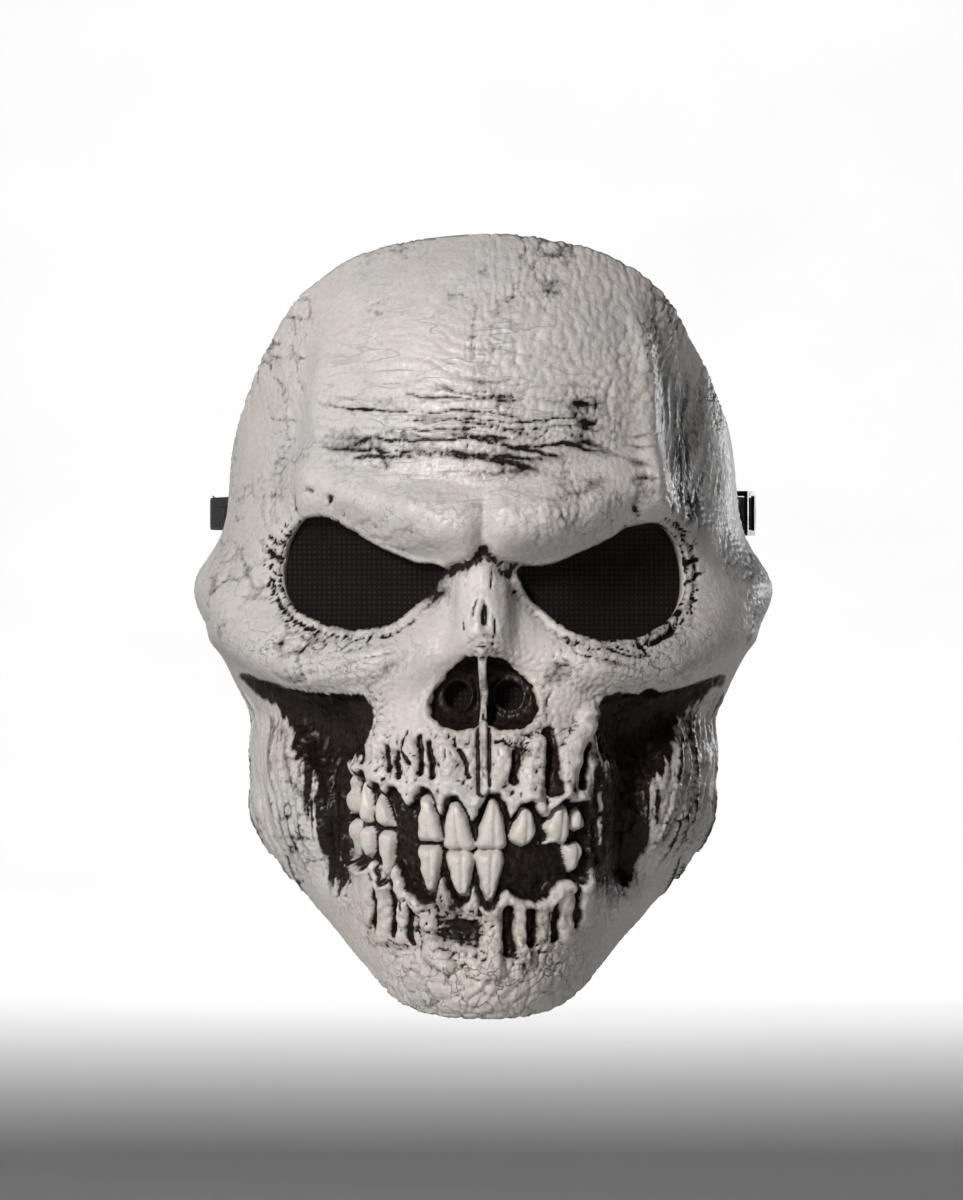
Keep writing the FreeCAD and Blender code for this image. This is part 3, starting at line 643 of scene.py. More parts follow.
def sculpt(points, angle, z):
    """Height over the bones in mm, and paint masks, of every grid point."""
    x = points[..., 0]
    side = np.abs(x)
    arc = np.radians(angle) * between(LEVELS[:, 0], LEVELS[:, 1], z)
    away = eye_distance(x, z)
    teeth_height, pockets, enamel = mouth(x, z)
    layers = [brows(x, z), eye_rims(x, z, away), nose(x, z), cheeks(x, z, arc), hollows(x, z, arc),
              roots(x, z), forehead(x, z), temples(x, z, arc), jaw_sides(x, z, arc), chin(x, z)]
    lumps, worn = skin_grain(x, z, arc)
    raised = sum(h for h, s in layers)
    height = raised * (1 - enamel) + teeth_height + lumps * (1 - 0.75 * enamel)
    height += enamel * np.minimum(raised, 0.5)
    pits = np.clip(blur(height, 1.6) - height, 0, 1)
    creased = smooth(0.10, 0.42, pits)
    inked = np.clip(0.25 + 0.3 * hill(x, z, -4, 20, 42, 16, 2.0) + hill(x, z, 0, -96, 46, 40, 2.0)
                    + smooth(8, 2, away) + hill(x, z, 0, -28, 14, 16, 2.0), 0, 1)
    # the stain mask holds real stains and black wash, plus painted shade from the brow notch, the inner eye
    # corners and the +X temple plane
    stain_and_shade = sum(s for h, s in layers) * (1 - enamel) + pockets
    stain_and_shade = stain_and_shade + (0.75 * creased * inked + worn) * (1 - 0.7 * enamel)
    # the hill at (4, -142) darkens and browns the chin
    warm = (hill(x, z, 0, -122, 38, 9) * 0.8 + hill(x, z, 4, -142, 30, 14) * 0.55 + pockets * 0.5
            + hill(x, z, 0, -55, 22, 16) * 0.9 + hill(side, z, 50, -70, 16, 16) * 0.6)
    cold = rough(arc / 18, z / 18, 161, 2) * 1.2 - 0.1
    lined = hill(x, z, -6, 30, 44, 34, 2.0) * smooth(54, 46, side)
    crackled = np.clip(hill(x, z, 0, -140, 36, 16, 2.0) + hill(side, z, 50, -42, 26, 12)
                       + 0.5 * hill(side, z, 20, 0, 30, 12) + 0.5 * hill(x, z, 0, -74, 34, 9, 2.0), 0, 1)
    paint = {"stain_and_shade": stain_and_shade, "warm": warm, "cold": cold, "enamel": enamel, "lined": lined,
             "crackled": crackled * (1 - enamel)}
    return height, {label: np.clip(mask, 0, 1) for label, mask in paint.items()}


# ---------------------------------------------------------------- materials
# pairs are a surface's darker and lighter colour
BONE = (0.60, 0.565, 0.54), (0.66, 0.63, 0.615)
# colours of the black wash, which also colour the painted shade that the stain mask carries
BLACK_WASH_AND_SHADE = (0.006, 0.004, 0.004), (0.024, 0.015, 0.011)
RAW = (0.50, 0.465, 0.41), (0.60, 0.57, 0.52)
PLASTIC = (0.012, 0.012, 0.013), (0.05, 0.05, 0.052)
PAPER = (0.80, 0.80, 0.80), (0.83, 0.83, 0.83)
GRIME = (0.20, 0.17, 0.15)
RAW_SHADE = (0.33, 0.30, 0.26)
# paint mask, how strongly it tints the bone, its colour
TINTS = [("cold", 0.45, (0.50, 0.53, 0.53)), ("warm", 0.40, (0.46, 0.36, 0.27)),
         ("enamel", 0.6, (0.62, 0.585, 0.53))]
EYE_WEAVE, COTTON_WEAVE, RIB = 1.5, 1.1, 0.95       # millimetres from thread to thread
# dark and light colour, pitch and depth in mm, roughness, sheen
WOVEN = {
    "eye_fabric": ((0.003, 0.002, 0.002), (0.022, 0.013, 0.010), EYE_WEAVE, 0.12, 0.8, 0.04),
    "cotton_cloth": ((0.10, 0.095, 0.09), (0.24, 0.23, 0.215), COTTON_WEAVE, 0.10, 0.85, 0.2),
    "woven_elastic": ((0.006, 0.006, 0.007), (0.028, 0.028, 0.031), RIB, 0.08, 0.72, 0.12),
    "sewing_thread": ((0.006, 0.006, 0.006), (0.03, 0.03, 0.032), 0.5, 0.04, 0.6, 0.3),
}
ROUGH_SPREAD = 0.08
BUMP_STRENGTH = 0.9
WAVE_PITCH = 0.314      # of the wave node at scale 1, a twentieth of tau


def node(tree, kind, inputs=(), **settings):
    """Add a shader node. Inputs pair a socket's name or number with a value or another node's output."""
    made = tree.nodes.new("ShaderNode" + kind)
    for key, value in settings.items():
        setattr(made, key, value)
    for key, value in dict(inputs).items():
        if isinstance(value, bpy.types.NodeSocket):
            tree.links.new(value, made.inputs[key])
        else:
            made.inputs[key].default_value = value
    return made


def blank(name, **sockets):
    """New material with these constants on its shader: (material, tree, shader)."""
    made = bpy.data.materials.new(name)
    made.use_nodes = True
    shader = made.node_tree.nodes["Principled BSDF"]
    for key, value in sockets.items():
        shader.inputs[key.replace("_", " ")].default_value = value
    return made, made.node_tree, shader


def mixed(tree, amount, a, b):
    """Colour between a and b. 0, 6 and 7 are the node's sockets for the amount and the two colours."""
    colours = {6: a, 7: b, 0: amount}
    colours = {k: (*v, 1.0) if isinstance(v, tuple) else v for k, v in colours.items()}
    return node(tree, "Mix", colours, data_type="RGBA").outputs[2]


def calc(tree, operation, *values):
    return node(tree, "Math", dict(enumerate(values)), operation=operation).outputs[0]


def remap(tree, value, low, high, to_low=0.0, to_high=1.0):
    names = ("Value", "From Min", "From Max", "To Min", "To Max")
    return node(tree, "MapRange", dict(zip(names, (value, low, high, to_low, to_high)))).outputs[0]


def speckle(tree, size_mm, detail=3.0, stretch=(1.0, 1.0, 1.0)):
    """Noise whose lumps are this many millimetres across."""
    place = node(tree, "TexCoord").outputs["Object"]
    place = node(tree, "Mapping", {"Vector": place, "Scale": stretch}).outputs[0]
    inputs = {"Vector": place, "Scale": 1 / (size_mm * MM), "Detail": detail}
    return node(tree, "TexNoise", inputs).outputs["Fac"]


def pores(tree, size_mm):
    """Distance from scattered points about this many millimetres apart."""
    place = node(tree, "TexCoord").outputs["Object"]
    return node(tree, "TexVoronoi", {"Vector": place, "Scale": 1 / (size_mm * MM)}).outputs[0]


def cracks(tree, size_mm, width, stretch):
    """Thin wavering lines, 1 on a line, where a stretched noise crosses its middle value."""
    away = calc(tree, "SUBTRACT", speckle(tree, size_mm, 2.0, stretch), 0.5)
    return remap(tree, calc(tree, "ABSOLUTE", away), 0.0, width, 1.0, 0.0)


def stripes(tree, pitch_mm, direction):
    """Slightly wavering stripes, one per pitch."""
    place = node(tree, "TexCoord").outputs["Object"]
    return node(tree, "TexWave", {"Vector": place, "Scale": WAVE_PITCH / (pitch_mm * MM), "Distortion": 0.4},
                bands_direction=direction).outputs["Fac"]


def wire(tree, shader, colour, roughness, layers):
    """Link the colour, the roughness and a chain of (height, depth in mm) bumps to the shader."""
    tree.links.new(colour, shader.inputs["Base Color"])
    tree.links.new(roughness, shader.inputs["Roughness"])
    normal = None
    for height, depth_mm in layers:
        inputs = {"Height": height, "Distance": depth_mm * MM, "Strength": BUMP_STRENGTH}
        if normal:
            inputs["Normal"] = normal
        normal = node(tree, "Bump", inputs).outputs[0]
    tree.links.new(normal, shader.inputs["Normal"])


def painted_latex():
    made, tree, shader = blank("painted_latex", Coat_Weight=0.08, Coat_Roughness=0.2,
                               Subsurface_Weight=0.04, Subsurface_Scale=0.004)
    read = {label: node(tree, "Attribute", attribute_name=label).outputs["Fac"]
            for label in ("stain_and_shade", "warm", "cold", "enamel", "lined", "crackled")}
    broad, fine, speck = speckle(tree, 9.0, 5.0), speckle(tree, 1.6, 6.0), speckle(tree, 0.45, 3.0)
    bone = mixed(tree, remap(tree, broad, 0.35, 0.7), *BONE)
    for label, strength, tint in TINTS:
        bone = mixed(tree, calc(tree, "MULTIPLY", read[label], strength), bone, tint)
    bone = mixed(tree, remap(tree, fine, 0.42, 0.72, 0.0, 0.16), bone, GRIME)
    lines = cracks(tree, 4.6, 0.028, (0.2, 0.2, 1.0))
    lines = calc(tree, "MULTIPLY", lines, calc(tree, "MULTIPLY", read["lined"], 0.6))
    crackle = calc(tree, "MULTIPLY", cracks(tree, 5.0, 0.03, (1.0, 1.0, 1.0)), read["crackled"])
    split = calc(tree, "MAXIMUM", lines, crackle)
    split = calc(tree, "MULTIPLY", split, remap(tree, broad, 0.35, 0.6, 0.15, 0.95))
    # the wash darkens the bone with black paint and with the painted shade that the stain mask carries
    edge = calc(tree, "MULTIPLY_ADD", calc(tree, "SUBTRACT", fine, 0.5), 0.6, read["stain_and_shade"])
    wash_and_shade = calc(tree, "MAXIMUM", remap(tree, edge, 0.12, 0.62), calc(tree, "MULTIPLY", split, 0.85))
    colour = mixed(tree, wash_and_shade, bone, mixed(tree, remap(tree, fine, 0.35, 0.7), *BLACK_WASH_AND_SHADE))
    roughness = calc(tree, "MULTIPLY_ADD", wash_and_shade, -0.10, remap(tree, fine, 0.3, 0.7, 0.36, 0.56))
    tree.links.new(remap(tree, wash_and_shade, 0.0, 1.0, 0.42, 0.14), shader.inputs["Specular IOR Level"])
    hollow = calc(tree, "SUBTRACT", 1.0, split)
    layers = [(fine, 0.16), (speck, 0.07), (pores(tree, 1.3), 0.12), (hollow, 0.25)]
    wire(tree, shader, colour, roughness, layers)
    return made


def raw_latex():
    made, tree, shader = blank("raw_latex", Specular_IOR_Level=0.45, Subsurface_Weight=0.08,
                               Subsurface_Scale=0.004)
    broad, fine = speckle(tree, 14.0, 4.0), speckle(tree, 1.1, 4.0)
    colour = mixed(tree, remap(tree, broad, 0.3, 0.7), *RAW)
    colour = mixed(tree, remap(tree, fine, 0.5, 0.75, 0.0, 0.3), colour, RAW_SHADE)
    roughness = remap(tree, fine, 0.3, 0.7, 0.5, 0.68)
    wire(tree, shader, colour, roughness, [(fine, 0.18), (pores(tree, 2.2), 0.12)])
    return made


def woven(name, dark, light, pitch, depth, roughness, sheen):
    """Plain weave: threads both ways, each standing over and under the other."""
    made, tree, shader = blank(name, Specular_IOR_Level=0.16, Sheen_Weight=sheen, Sheen_Roughness=0.45)
    weave = calc(tree, "MULTIPLY", stripes(tree, pitch, "X"), stripes(tree, pitch, "Z"))
    fuzz, worn = speckle(tree, 0.25, 3.0), speckle(tree, 7.0, 3.0)
    amount = calc(tree, "MULTIPLY", remap(tree, weave, 0.05, 0.7), remap(tree, worn, 0.25, 0.7, 0.55, 1.0))
    varied = remap(tree, fuzz, 0.3, 0.7, roughness - ROUGH_SPREAD, roughness + ROUGH_SPREAD)
    wire(tree, shader, mixed(tree, amount, dark, light), varied, [(weave, depth), (fuzz, 0.05)])
    return made


def black_plastic():
    made, tree, shader = blank("black_plastic", Specular_IOR_Level=0.5)
    cloudy, scuffs = speckle(tree, 3.0, 4.0), speckle(tree, 0.5, 5.0, (1.0, 1.0, 0.15))
    colour = mixed(tree, remap(tree, scuffs, 0.55, 0.75, 0.0, 0.35), *PLASTIC)
    roughness = remap(tree, cloudy, 0.3, 0.7, 0.24, 0.42)
    wire(tree, shader, colour, roughness, [(pores(tree, 0.35), 0.02), (scuffs, 0.03)])
    return made


def plain_stage():
    made, tree, shader = blank("studio_paper", Roughness=0.9, Specular_IOR_Level=0.2)
    tone = remap(tree, speckle(tree, 300.0, 2.0), 0.3, 0.7)
    tree.links.new(mixed(tree, tone, *PAPER), shader.inputs["Base Color"])
    return made


# ---------------------------------------------------------------- the shell and what is glued in it
EYE_SEAT = 0.8          # extra latex behind the skin where the eye fabric is glued
LEAST_SKIN = 0.9        # latex left under the deepest grooves
EYE_MARGIN = 6.5
CLOTH_GAP = 0.25
FABRIC = 0.35
NOSE_DEPTH = 3.0        # from the skin's inside to the nose cloth
NOSE_INSET = 2.6        # lets the nose cloth's area agree with the CAD's: it lies deeper, where it spreads
PATCH = 0.45            # the backing cloth's thickness, and its distance from the skin
CLOTH_STEP = (0.26, 0.36)       # degrees round the head and millimetres of height
# angles and heights that each eye's cloth lies within
EYE_SPAN = {"left": ((-62.0, -46.0), (-3.0, 8.0)), "right": ((2.0, -50.0), (62.0, 6.0))}


def skull_shell():
    angle, z, field = shell_grid()
    points = face_points(angle, z)
    out = normals(points)
    height, paint = sculpt(points, angle, z)
    away = eye_distance(points[..., 0], z)
    low = blur(lowest(height, 4), 3.0)
    seat = smooth(EYE_MARGIN + 4, EYE_MARGIN + 1, away)
    low = low * (1 - seat) - EYE_SEAT * seat
    height = np.maximum(height, low - SKIN + LEAST_SKIN)
    outer = points + out * height[..., None]
    inner = points + out * (low - SKIN)[..., None]
    raw = raw_latex()
    body = skin_mesh("skull_shell", outer, inner, field >= 0, paint, [painted_latex(), raw, raw])
    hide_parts("latex_shell")
    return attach(body, "mask")


def crossed(u, v, pitch):
    """Relief of a plain weave, from -1 to 1."""
    return np.cos(u * math.tau / pitch) * np.cos(v * math.tau / pitch)


def glued_cloth(name, low, high, depth, thick, inside, relief, made_of):
    """Thin cloth behind the skin, from the (angle, height) low to high, where inside(points) is positive."""
    angle, z = np.meshgrid(*(np.arange(a, b, step) for a, b, step in zip(low, high, CLOTH_STEP)))
    angle, z, field = snap(angle, z, lambda a, h: inside(face_points(a, h)))
    points = face_points(angle, z)
    out = normals(points)
    wave = relief(points)
    front = points - out * (depth - wave)[..., None]
    back = points - out * (depth + thick - wave)[..., None]
    return skin_mesh(name, front, back, field >= 0, {}, [made_of] * 3)


def eye_mesh(side, fabric):
    outline = EYES[side]
    low, high = EYE_SPAN[side]

    def inside(p):
        return EYE_MARGIN - outside(p[..., 0], p[..., 2], outline)

    def relief(p):
        slack = smooth(0, -14, outside(p[..., 0], p[..., 2], outline))
        return 0.07 * crossed(p[..., 0], p[..., 2], EYE_WEAVE) - 0.9 * slack

    depth = SKIN + EYE_SEAT + CLOTH_GAP
    body = glued_cloth(f"eye_mesh_{side}", low, high, depth, FABRIC, inside, relief, fabric)
    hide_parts(f"{side}_eye_panel")
    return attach(body, "mask")


def nose_mesh(fabric):
    def inside(p):
        return -outside(p[..., 0], p[..., 2], NOSE_PANEL) - NOSE_INSET

    def relief(p):
        return 0.07 * crossed(p[..., 0], p[..., 2], EYE_WEAVE)

    body = glued_cloth("nose_mesh", (-15.0, -66.0), (15.0, -44.0), SKIN + NOSE_DEPTH, FABRIC, inside, relief,
                       fabric)
    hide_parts("nose_panel")
    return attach(body, "mask")


def backing_patch(side, cloth):
    """Cotton square with a frayed edge, glued inside the temple round the stitch's knot."""
    sign = -1 if side == "left" else 1
    low, high = (min(sign * 66, sign * 104), -11.0), (max(sign * 66, sign * 104), 11.0)

    def inside(p):
        x, y, z = p[..., 0], p[..., 1], p[..., 2]
        fray = 0.35 * noise(y / 0.6, z / 0.6, 201 + sign)
        rim = between(RIM[:, 1], RIM[:, 0], z)
        sides = [y + 13.0, np.minimum(6.5, rim - 1.0) - y, 8.5 - np.abs(z), sign * x - 40]
        return np.minimum.reduce(sides) + fray

    def relief(p):
        weave = crossed(p[..., 1], p[..., 2], COTTON_WEAVE)
        return 0.06 * weave + 0.12 * rough(p[..., 1] / 6, p[..., 2] / 6, 205)

    body = glued_cloth(f"backing_cloth_{side}", low, high, SKIN + PATCH, PATCH, inside, relief, cloth)
    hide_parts(f"{side}_backing_patch")
    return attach(body, "mask")


# ---------------------------------------------------------------- the elastic, as in the CAD
BAND, HALF_BAND = 0.9, 5.0
BAND_X, LAYER_GAP = 72.5, 1.3
FLARE, FLARE_AT = math.radians(15.0), 11.0
STRAIGHT_END, SIDE_R, SIDE_TURN = 53.0, 40.0, 62.0
RING_BARS, SLIDER_AT, TAIL, RETURN_GAP = (18.0, 25.0), 46.0, 9.0, 1.5
RUN_X = BAND_X + BAND / 2
RING_X = BAND_X - LAYER_GAP / 2
RETURN_X = BAND_X - LAYER_GAP - BAND / 2
SLIDER_X = BAND_X - LAYER_GAP - BAND - LAYER_GAP / 2
TAIL_X = SLIDER_X - LAYER_GAP / 2 - BAND / 2
PICK = 1.2              # from one crosswise thread to the next
CORD_PROUD, PICK_PROUD = 0.06, 0.045
BAND_INSET = 0.12       # the relief's middle under the band's face
ACROSS = 45             # points across the band
PATH_STEP = 0.3


def flared(points):
    """Turn points laid out along Y at the +X temple outwards with the band's side."""
    p = np.array(points, float)
    dx, dy = p[:, 0] - BAND_X, p[:, 1] - FLARE_AT
    return np.stack([BAND_X + dx * math.cos(FLARE) + dy * math.sin(FLARE),
                     FLARE_AT - dx * math.sin(FLARE) + dy * math.cos(FLARE)], 1)


def arc_points(cx, cy, radius, start, end, count=40):
    """Points of an arc; angles in degrees from +X towards +Y."""
    a = np.radians(np.linspace(start, end, count))
    return np.stack([cx + radius * np.cos(a), cy + radius * np.sin(a)], 1)


def half_round_the_head():
    """From the +X side's straight end to the middle of the back."""
    start = flared([(RUN_X, STRAIGHT_END)])[0]
    corner = flared([(BAND_X - SIDE_R, STRAIGHT_END)])[0]
    first = math.degrees(math.atan2(*(start - corner)[::-1]))
    turn = math.radians(first + SIDE_TURN)
    wide_r = SIDE_R + corner[0] / math.cos(turn)
    centre_y = corner[1] - (wide_r - SIDE_R) * math.sin(turn)
    side = arc_points(*corner, SIDE_R + BAND / 2, first, first + SIDE_TURN)
    back = arc_points(0, centre_y, wide_r + BAND / 2, first + SIDE_TURN, 90)
    return side, back


def walked(path, step=PATH_STEP):
    """Points at even steps along a path."""
    path = np.array(path, float)
    far = np.concatenate([[0], np.cumsum(np.hypot(*np.diff(path, axis=0).T))])
    at = np.linspace(0, far[-1], int(far[-1] / step) + 2)
    return np.stack([np.interp(at, far, path[:, k]) for k in (0, 1)], 1), at


def ribbon(name, path, made_of, body, stands_for, rounded_start=False):
    """Woven elastic along a path in X and Y: cords along it, picks across it and rounded edges."""
    path, at = walked(path)
    tangent = np.gradient(path, axis=0)
    tangent /= np.linalg.norm(tangent, axis=1, keepdims=True)
    normal = np.stack([tangent[:, 1], -tangent[:, 0]], 1)
    width = np.full(len(at), HALF_BAND)
    if rounded_start:
        round_width = np.sqrt(np.clip(HALF_BAND ** 2 - (HALF_BAND - at) ** 2, 0.3, None))
        width = np.where(at < HALF_BAND, round_width, width)
    across = np.linspace(-1, 1, ACROSS)
    z = width[:, None] * across
    cords = np.cos(z * math.tau / RIB)
    weave = np.cos(at[:, None] * math.tau / PICK + math.pi * np.floor(z / RIB + 0.5))
    edge = np.sqrt(np.clip(1 - np.abs(across) ** 14, 0.05, 1))
    half = (BAND / 2 - BAND_INSET + CORD_PROUD * cords + PICK_PROUD * weave) * edge
    layers = []
    for way in (1, -1):
        xy = path[:, None, :] + normal[:, None, :] * (way * half)[..., None]
        layers.append(np.concatenate([xy, z[..., None]], -1))
    ring = np.concatenate([layers[0], layers[1][:, ::-1]], 1)
    rows, around = ring.shape[:2]
    number = np.arange(rows * around).reshape(rows, around)
    beside = np.roll(number, -1, 1)
    quads = np.stack([number[:-1], beside[:-1], beside[1:], number[1:]], -1).reshape(-1, 4)
    half_way = around // 2
    caps = []
    for row, way in ((number[0], -1), (number[-1], 1)):
        front, back = row[:half_way], row[half_way:][::-1]
        caps.append(np.stack([front[:-1], front[1:], back[1:], back[:-1]], -1)[:, ::way])
    made = from_arrays(name, ring.reshape(-1, 3), np.concatenate([quads] + caps))
    made.data.materials.append(made_of)
    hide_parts(stands_for)
    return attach(made, body) if body else made


def elastic_pieces(made_of):
    side, back = half_round_the_head()
    near = np.concatenate([side, back])
    root = [(RUN_X, -HALF_BAND), (RUN_X, FLARE_AT)]
    straight = np.concatenate([root, flared([(RUN_X, FLARE_AT + 1), (RUN_X, STRAIGHT_END)])])
    fold = arc_points(RING_X, RING_BARS[1], RUN_X - RING_X, 0, -180)
    path = np.concatenate([straight * (-1, 1), near * (-1, 1), near[::-1], flared(fold)])
    ribbon("head_elastic", path, made_of, "band", "head_band", rounded_start=True)

    start, end = (RETURN_X, RING_BARS[1]), (RETURN_X, SLIDER_AT - TAIL - RETURN_GAP)
    both = flared([start, end])
    piece = ribbon("return_elastic", both, made_of, None, "band_return")
    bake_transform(piece)

    turn = arc_points(SLIDER_X, SLIDER_AT, RETURN_X - SLIDER_X, 0, 180)
    sewn = np.concatenate([[(RETURN_X, SLIDER_AT - TAIL)], turn, [(TAIL_X, SLIDER_AT - TAIL)]])
    ribbon("sewn_end", flared(sewn), made_of, "slider", "band_end")

    turn = arc_points(RING_X, RING_BARS[0], RUN_X - RING_X, 0, 180)
    loop = np.concatenate([turn, [(RETURN_X, FLARE_AT + 1)]])
    ribbon("ring_loop", np.concatenate([root, flared(loop)]), made_of, "band", "ring_tab",
           rounded_start=True)


# ---------------------------------------------------------------- thread
def threads(name, strands, radius, made_of, body, stands_for):
    """Round threads along lines of points in millimetres, as one mesh."""
    curve = bpy.data.curves.new(name, "CURVE")
    curve.dimensions = "3D"
    curve.bevel_depth = radius * MM
    curve.bevel_resolution = 2
    curve.use_fill_caps = True
    for strand in strands:
        spline = curve.splines.new("NURBS")
        spline.points.add(len(strand) - 1)
        for point, place in zip(spline.points, strand):
            point.co = (*(c * MM for c in place), 1.0)
        spline.order_u = min(4, len(strand))
        spline.use_endpoint_u = True
        spline.resolution_u = 6
    line = linked(name + "_line", curve)
    bpy.context.view_layer.update()
    mesh = bpy.data.meshes.new_from_object(line.evaluated_get(bpy.context.evaluated_depsgraph_get()))
    bpy.data.objects.remove(line)
    made = linked(name, mesh)
    mesh.shade_smooth()
    mesh.materials.clear()
    mesh.materials.append(made_of)
    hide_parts(stands_for)
    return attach(made, body)


def surface_x(y, z):
    """Half width of the shell's outside near a temple."""
    angle = np.linspace(60, 104, 300)
    p = face_points(angle, np.full(len(angle), float(z)))
    return float(np.interp(y, p[:, 1], p[:, 0]))


STITCH_LEAN = math.radians(28.0)
THREAD_R, SEAM_THREAD_R = 0.2, 0.17
# two loose ends of thread, as (distance out from the shell, Y, Z)
LOOSE_ENDS = [[(0.4, -1.0, 2.2), (1.8, -0.6, 3.4), (3.6, 0.2, 3.6), (4.6, 0.6, 4.9)],
              [(0.4, -0.8, 1.6), (1.6, -0.8, 1.6), (3.2, 0.4, 1.0), (4.2, 1.2, 1.9)]]


def leaned(along, cross):
    """Y and Z of a place on the leaning stitch."""
    return (cross * math.cos(STITCH_LEAN) - along * math.sin(STITCH_LEAN),
            cross * math.sin(STITCH_LEAN) + along * math.cos(STITCH_LEAN))


def bar_tack(side, made_of):
    """Wraps of thread outside the temple, the strands through to the band, and a knot inside."""
    sign = -1 if side == "left" else 1
    picks = np.random.default_rng(SEED + sign)
    strands = []
    for offset in np.linspace(-0.55, 0.55, 6):
        line = []
        for t in np.linspace(-1, 1, 9):
            y, z = leaned(2.6 * t, offset + picks.uniform(-0.07, 0.07))
            proud = 0.75 * math.sqrt(max(0, 1 - t * t)) + picks.uniform(0.0, 0.12) - 0.25
            line.append((sign * (surface_x(y, z) + proud), y, z))
        strands.append(line)
    for along in (-1.5, -0.5, 0.5, 1.5):
        line = []
        for t in np.linspace(-1, 1, 7):
            y, z = leaned(along, 0.95 * t)
            line.append((sign * (surface_x(y, z) + 0.95 * math.sqrt(max(0, 1 - t * t)) - 0.1), y, z))
        strands.append(line)
    for turn in np.linspace(0, math.tau, 5)[:4]:
        y, z = 0.55 * math.cos(turn), 0.55 * math.sin(turn)
        strands.append([(sign * x, y, z) for x in np.linspace(BAND_X - 1.2, surface_x(y, z) + 0.2, 5)])
    for _ in range(7):
        loop = picks.uniform(0.5, 1.0, 3) * (0.35, 1.1, 2.2)
        phase = picks.uniform(0, math.tau, 3)
        strands.append([(sign * (BAND_X - 1.3 + loop[0] * math.sin(2 * a + phase[0])),
                         loop[1] * math.sin(a + phase[1]), loop[2] * math.sin(a + phase[2]))
                        for a in np.linspace(0, math.tau, 13)])
    if side == "left":
        top = surface_x(-1.0, 2.2)
        strands += [[(-top - out, y, z) for out, y, z in end] for end in LOOSE_ENDS]
    threads(f"thread_tack_{side}", strands, THREAD_R, made_of, "mask", f"{side}_bar_tack")


def seam(name, x_faces, first, made_of, body, stands_for):
    """Two rows of stitches across doubled elastic: dashes on both faces and thread through it."""
    strands = []
    for y in (first, first + 2.5):
        for z in np.arange(-4.0, 3.9, 1.6):
            for x, way in zip(x_faces, (-1, 1)):
                proud = x + way * 0.22
                strands.append([(x, y, z), (proud, y + 0.04, z + 0.1), (proud, y - 0.04, z + 1.15),
                                (x, y, z + 1.25)])
            strands.append([(x, y, z + 1.3) for x in np.linspace(*x_faces, 4)])
    turned = []
    for strand in strands:
        xy = flared([(p[0], p[1]) for p in strand])
        turned.append([(q[0], q[1], p[2]) for q, p in zip(xy, strand)])
    threads(name, turned, SEAM_THREAD_R, made_of, body, stands_for)


# ---------------------------------------------------------------- camera, light and stage
AIM = (0.0, -0.06, -0.03)
# name, place, what it points at, size, watts, colour
LIGHTS = [
    ("key", (-0.76, -1.60, 0.72), AIM, 0.38, 30.0, (1.0, 0.97, 0.945)),
    ("fill", (-0.2, -2.4, 0.4), AIM, 1.2, 1.2, (0.98, 0.98, 1.0)),
    ("edge", (0.75, 1.05, 0.10), AIM, 0.25, 1.8, (0.96, 0.98, 1.0)),
    ("back_wash", (0.0, 3.4, 2.4), (0.0, 7.0, 0.3), 2.0, 140.0, (1.0, 1.0, 1.0)),
    ("side_wash", (-3.4, 0.5, 2.4), (-7.0, 0.0, 0.3), 2.0, 60.0, (1.0, 1.0, 1.0))]
WORLD_COLOUR, WORLD_STRENGTH = (0.9, 0.92, 0.95, 1.0), 0.02


def aimed(name, data, place, target):
    made = linked(name, data)
    made.location = place
    made.rotation_euler = (Vector(target) - Vector(place)).to_track_quat("-Z", "Y").to_euler()
    return made


def area_light(name, place, target, size, watts, colour):
    light = bpy.data.lights.new(name, "AREA")
    light.shape = "DISK"
    light.size = size
    light.energy = watts
    light.color = colour
    aimed(name, light, place, target)


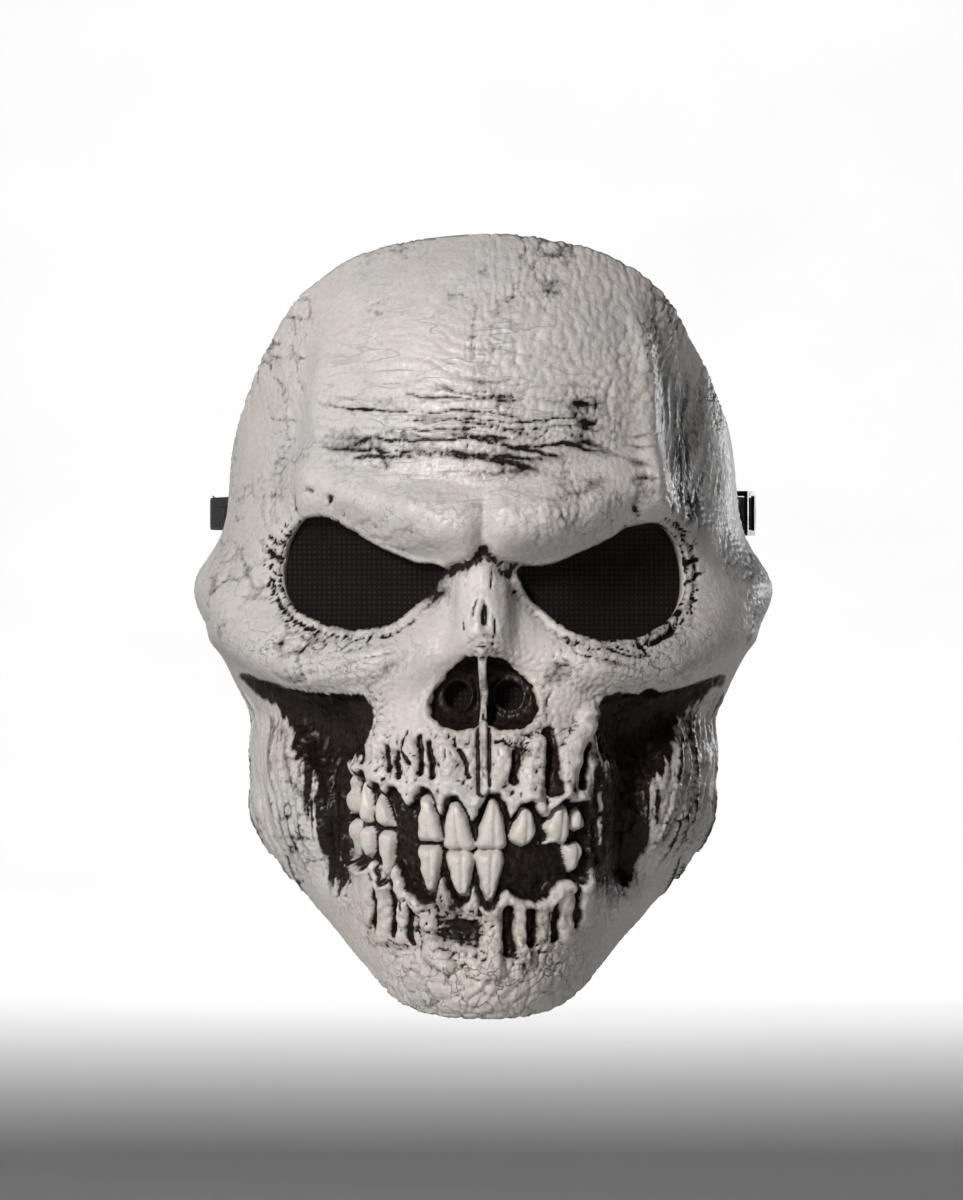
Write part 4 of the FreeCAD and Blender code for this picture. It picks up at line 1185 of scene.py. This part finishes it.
def studio_bowl():
    """Pale paper floor that curves up into a wall all round, far outside every camera."""
    floor_z, flat, bend, top = -0.32, 5.0, 2.0, 3.0
    profile = [(flat * k / 4, floor_z) for k in range(5)]
    profile += [(flat + bend * math.sin(a), floor_z + bend * (1 - math.cos(a)))
                for a in np.linspace(0, math.pi / 2, 13)[1:]]
    profile.append((flat + bend, top))
    spokes = 64
    points = [(r * math.sin(math.tau * k / spokes), r * math.cos(math.tau * k / spokes), z)
              for r, z in profile for k in range(spokes)]
    faces = []
    for row in range(0, (len(profile) - 1) * spokes, spokes):
        for k in range(spokes):
            beside = (k + 1) % spokes
            faces.append((row + k, row + beside, row + spokes + beside, row + spokes + k))
    mesh = bpy.data.meshes.new("studio_floor")
    mesh.from_pydata(points, [], faces)
    mesh.shade_smooth()
    mesh.materials.append(plain_stage())
    floor = linked("studio_floor", mesh)


def stage_and_lights():
    studio_bowl()
    for light in LIGHTS:
        area_light(*light)
    world = bpy.data.worlds.new("studio")
    world.use_nodes = True
    background = world.node_tree.nodes["Background"]
    background.inputs["Color"].default_value = WORLD_COLOUR
    background.inputs["Strength"].default_value = WORLD_STRENGTH
    bpy.context.scene.world = world
    bpy.context.scene.view_settings.view_transform = "Standard"


def camera():
    """Level with the lower half of the eyes and 2.5 m away, as a portrait lens sees it."""
    distance, tall = 2.5, 0.3672
    lens = bpy.data.cameras.new("camera")
    lens.sensor_width = 36.0
    lens.lens = lens.sensor_width * distance / tall
    place = (-0.00046, -distance, -0.027)
    bpy.context.scene.camera = aimed("camera", lens, place, (place[0], 0.0, place[2]))


def build():
    camera()
    stage_and_lights()
    skull_shell()
    fabric, cotton, elastic, thread = (woven(name, *values) for name, values in WOVEN.items())
    plastic = black_plastic()
    nose_mesh(fabric)
    for side in ("left", "right"):
        eye_mesh(side, fabric)
        backing_patch(side, cotton)
        bar_tack(side, thread)
    elastic_pieces(elastic)
    seam("seam_at_slider", (TAIL_X - BAND / 2, RETURN_X + BAND / 2), SLIDER_AT - TAIL + 1.25, thread,
         "slider", "end_stitches")
    seam("seam_at_ring", (RETURN_X - BAND / 2, RUN_X + BAND / 2), FLARE_AT + 2.5, thread, "band",
         "tab_stitches")
    for name in ("ring", "slider"):
        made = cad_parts[name]
        made.data.materials.clear()
        made.data.materials.append(plastic)


build()
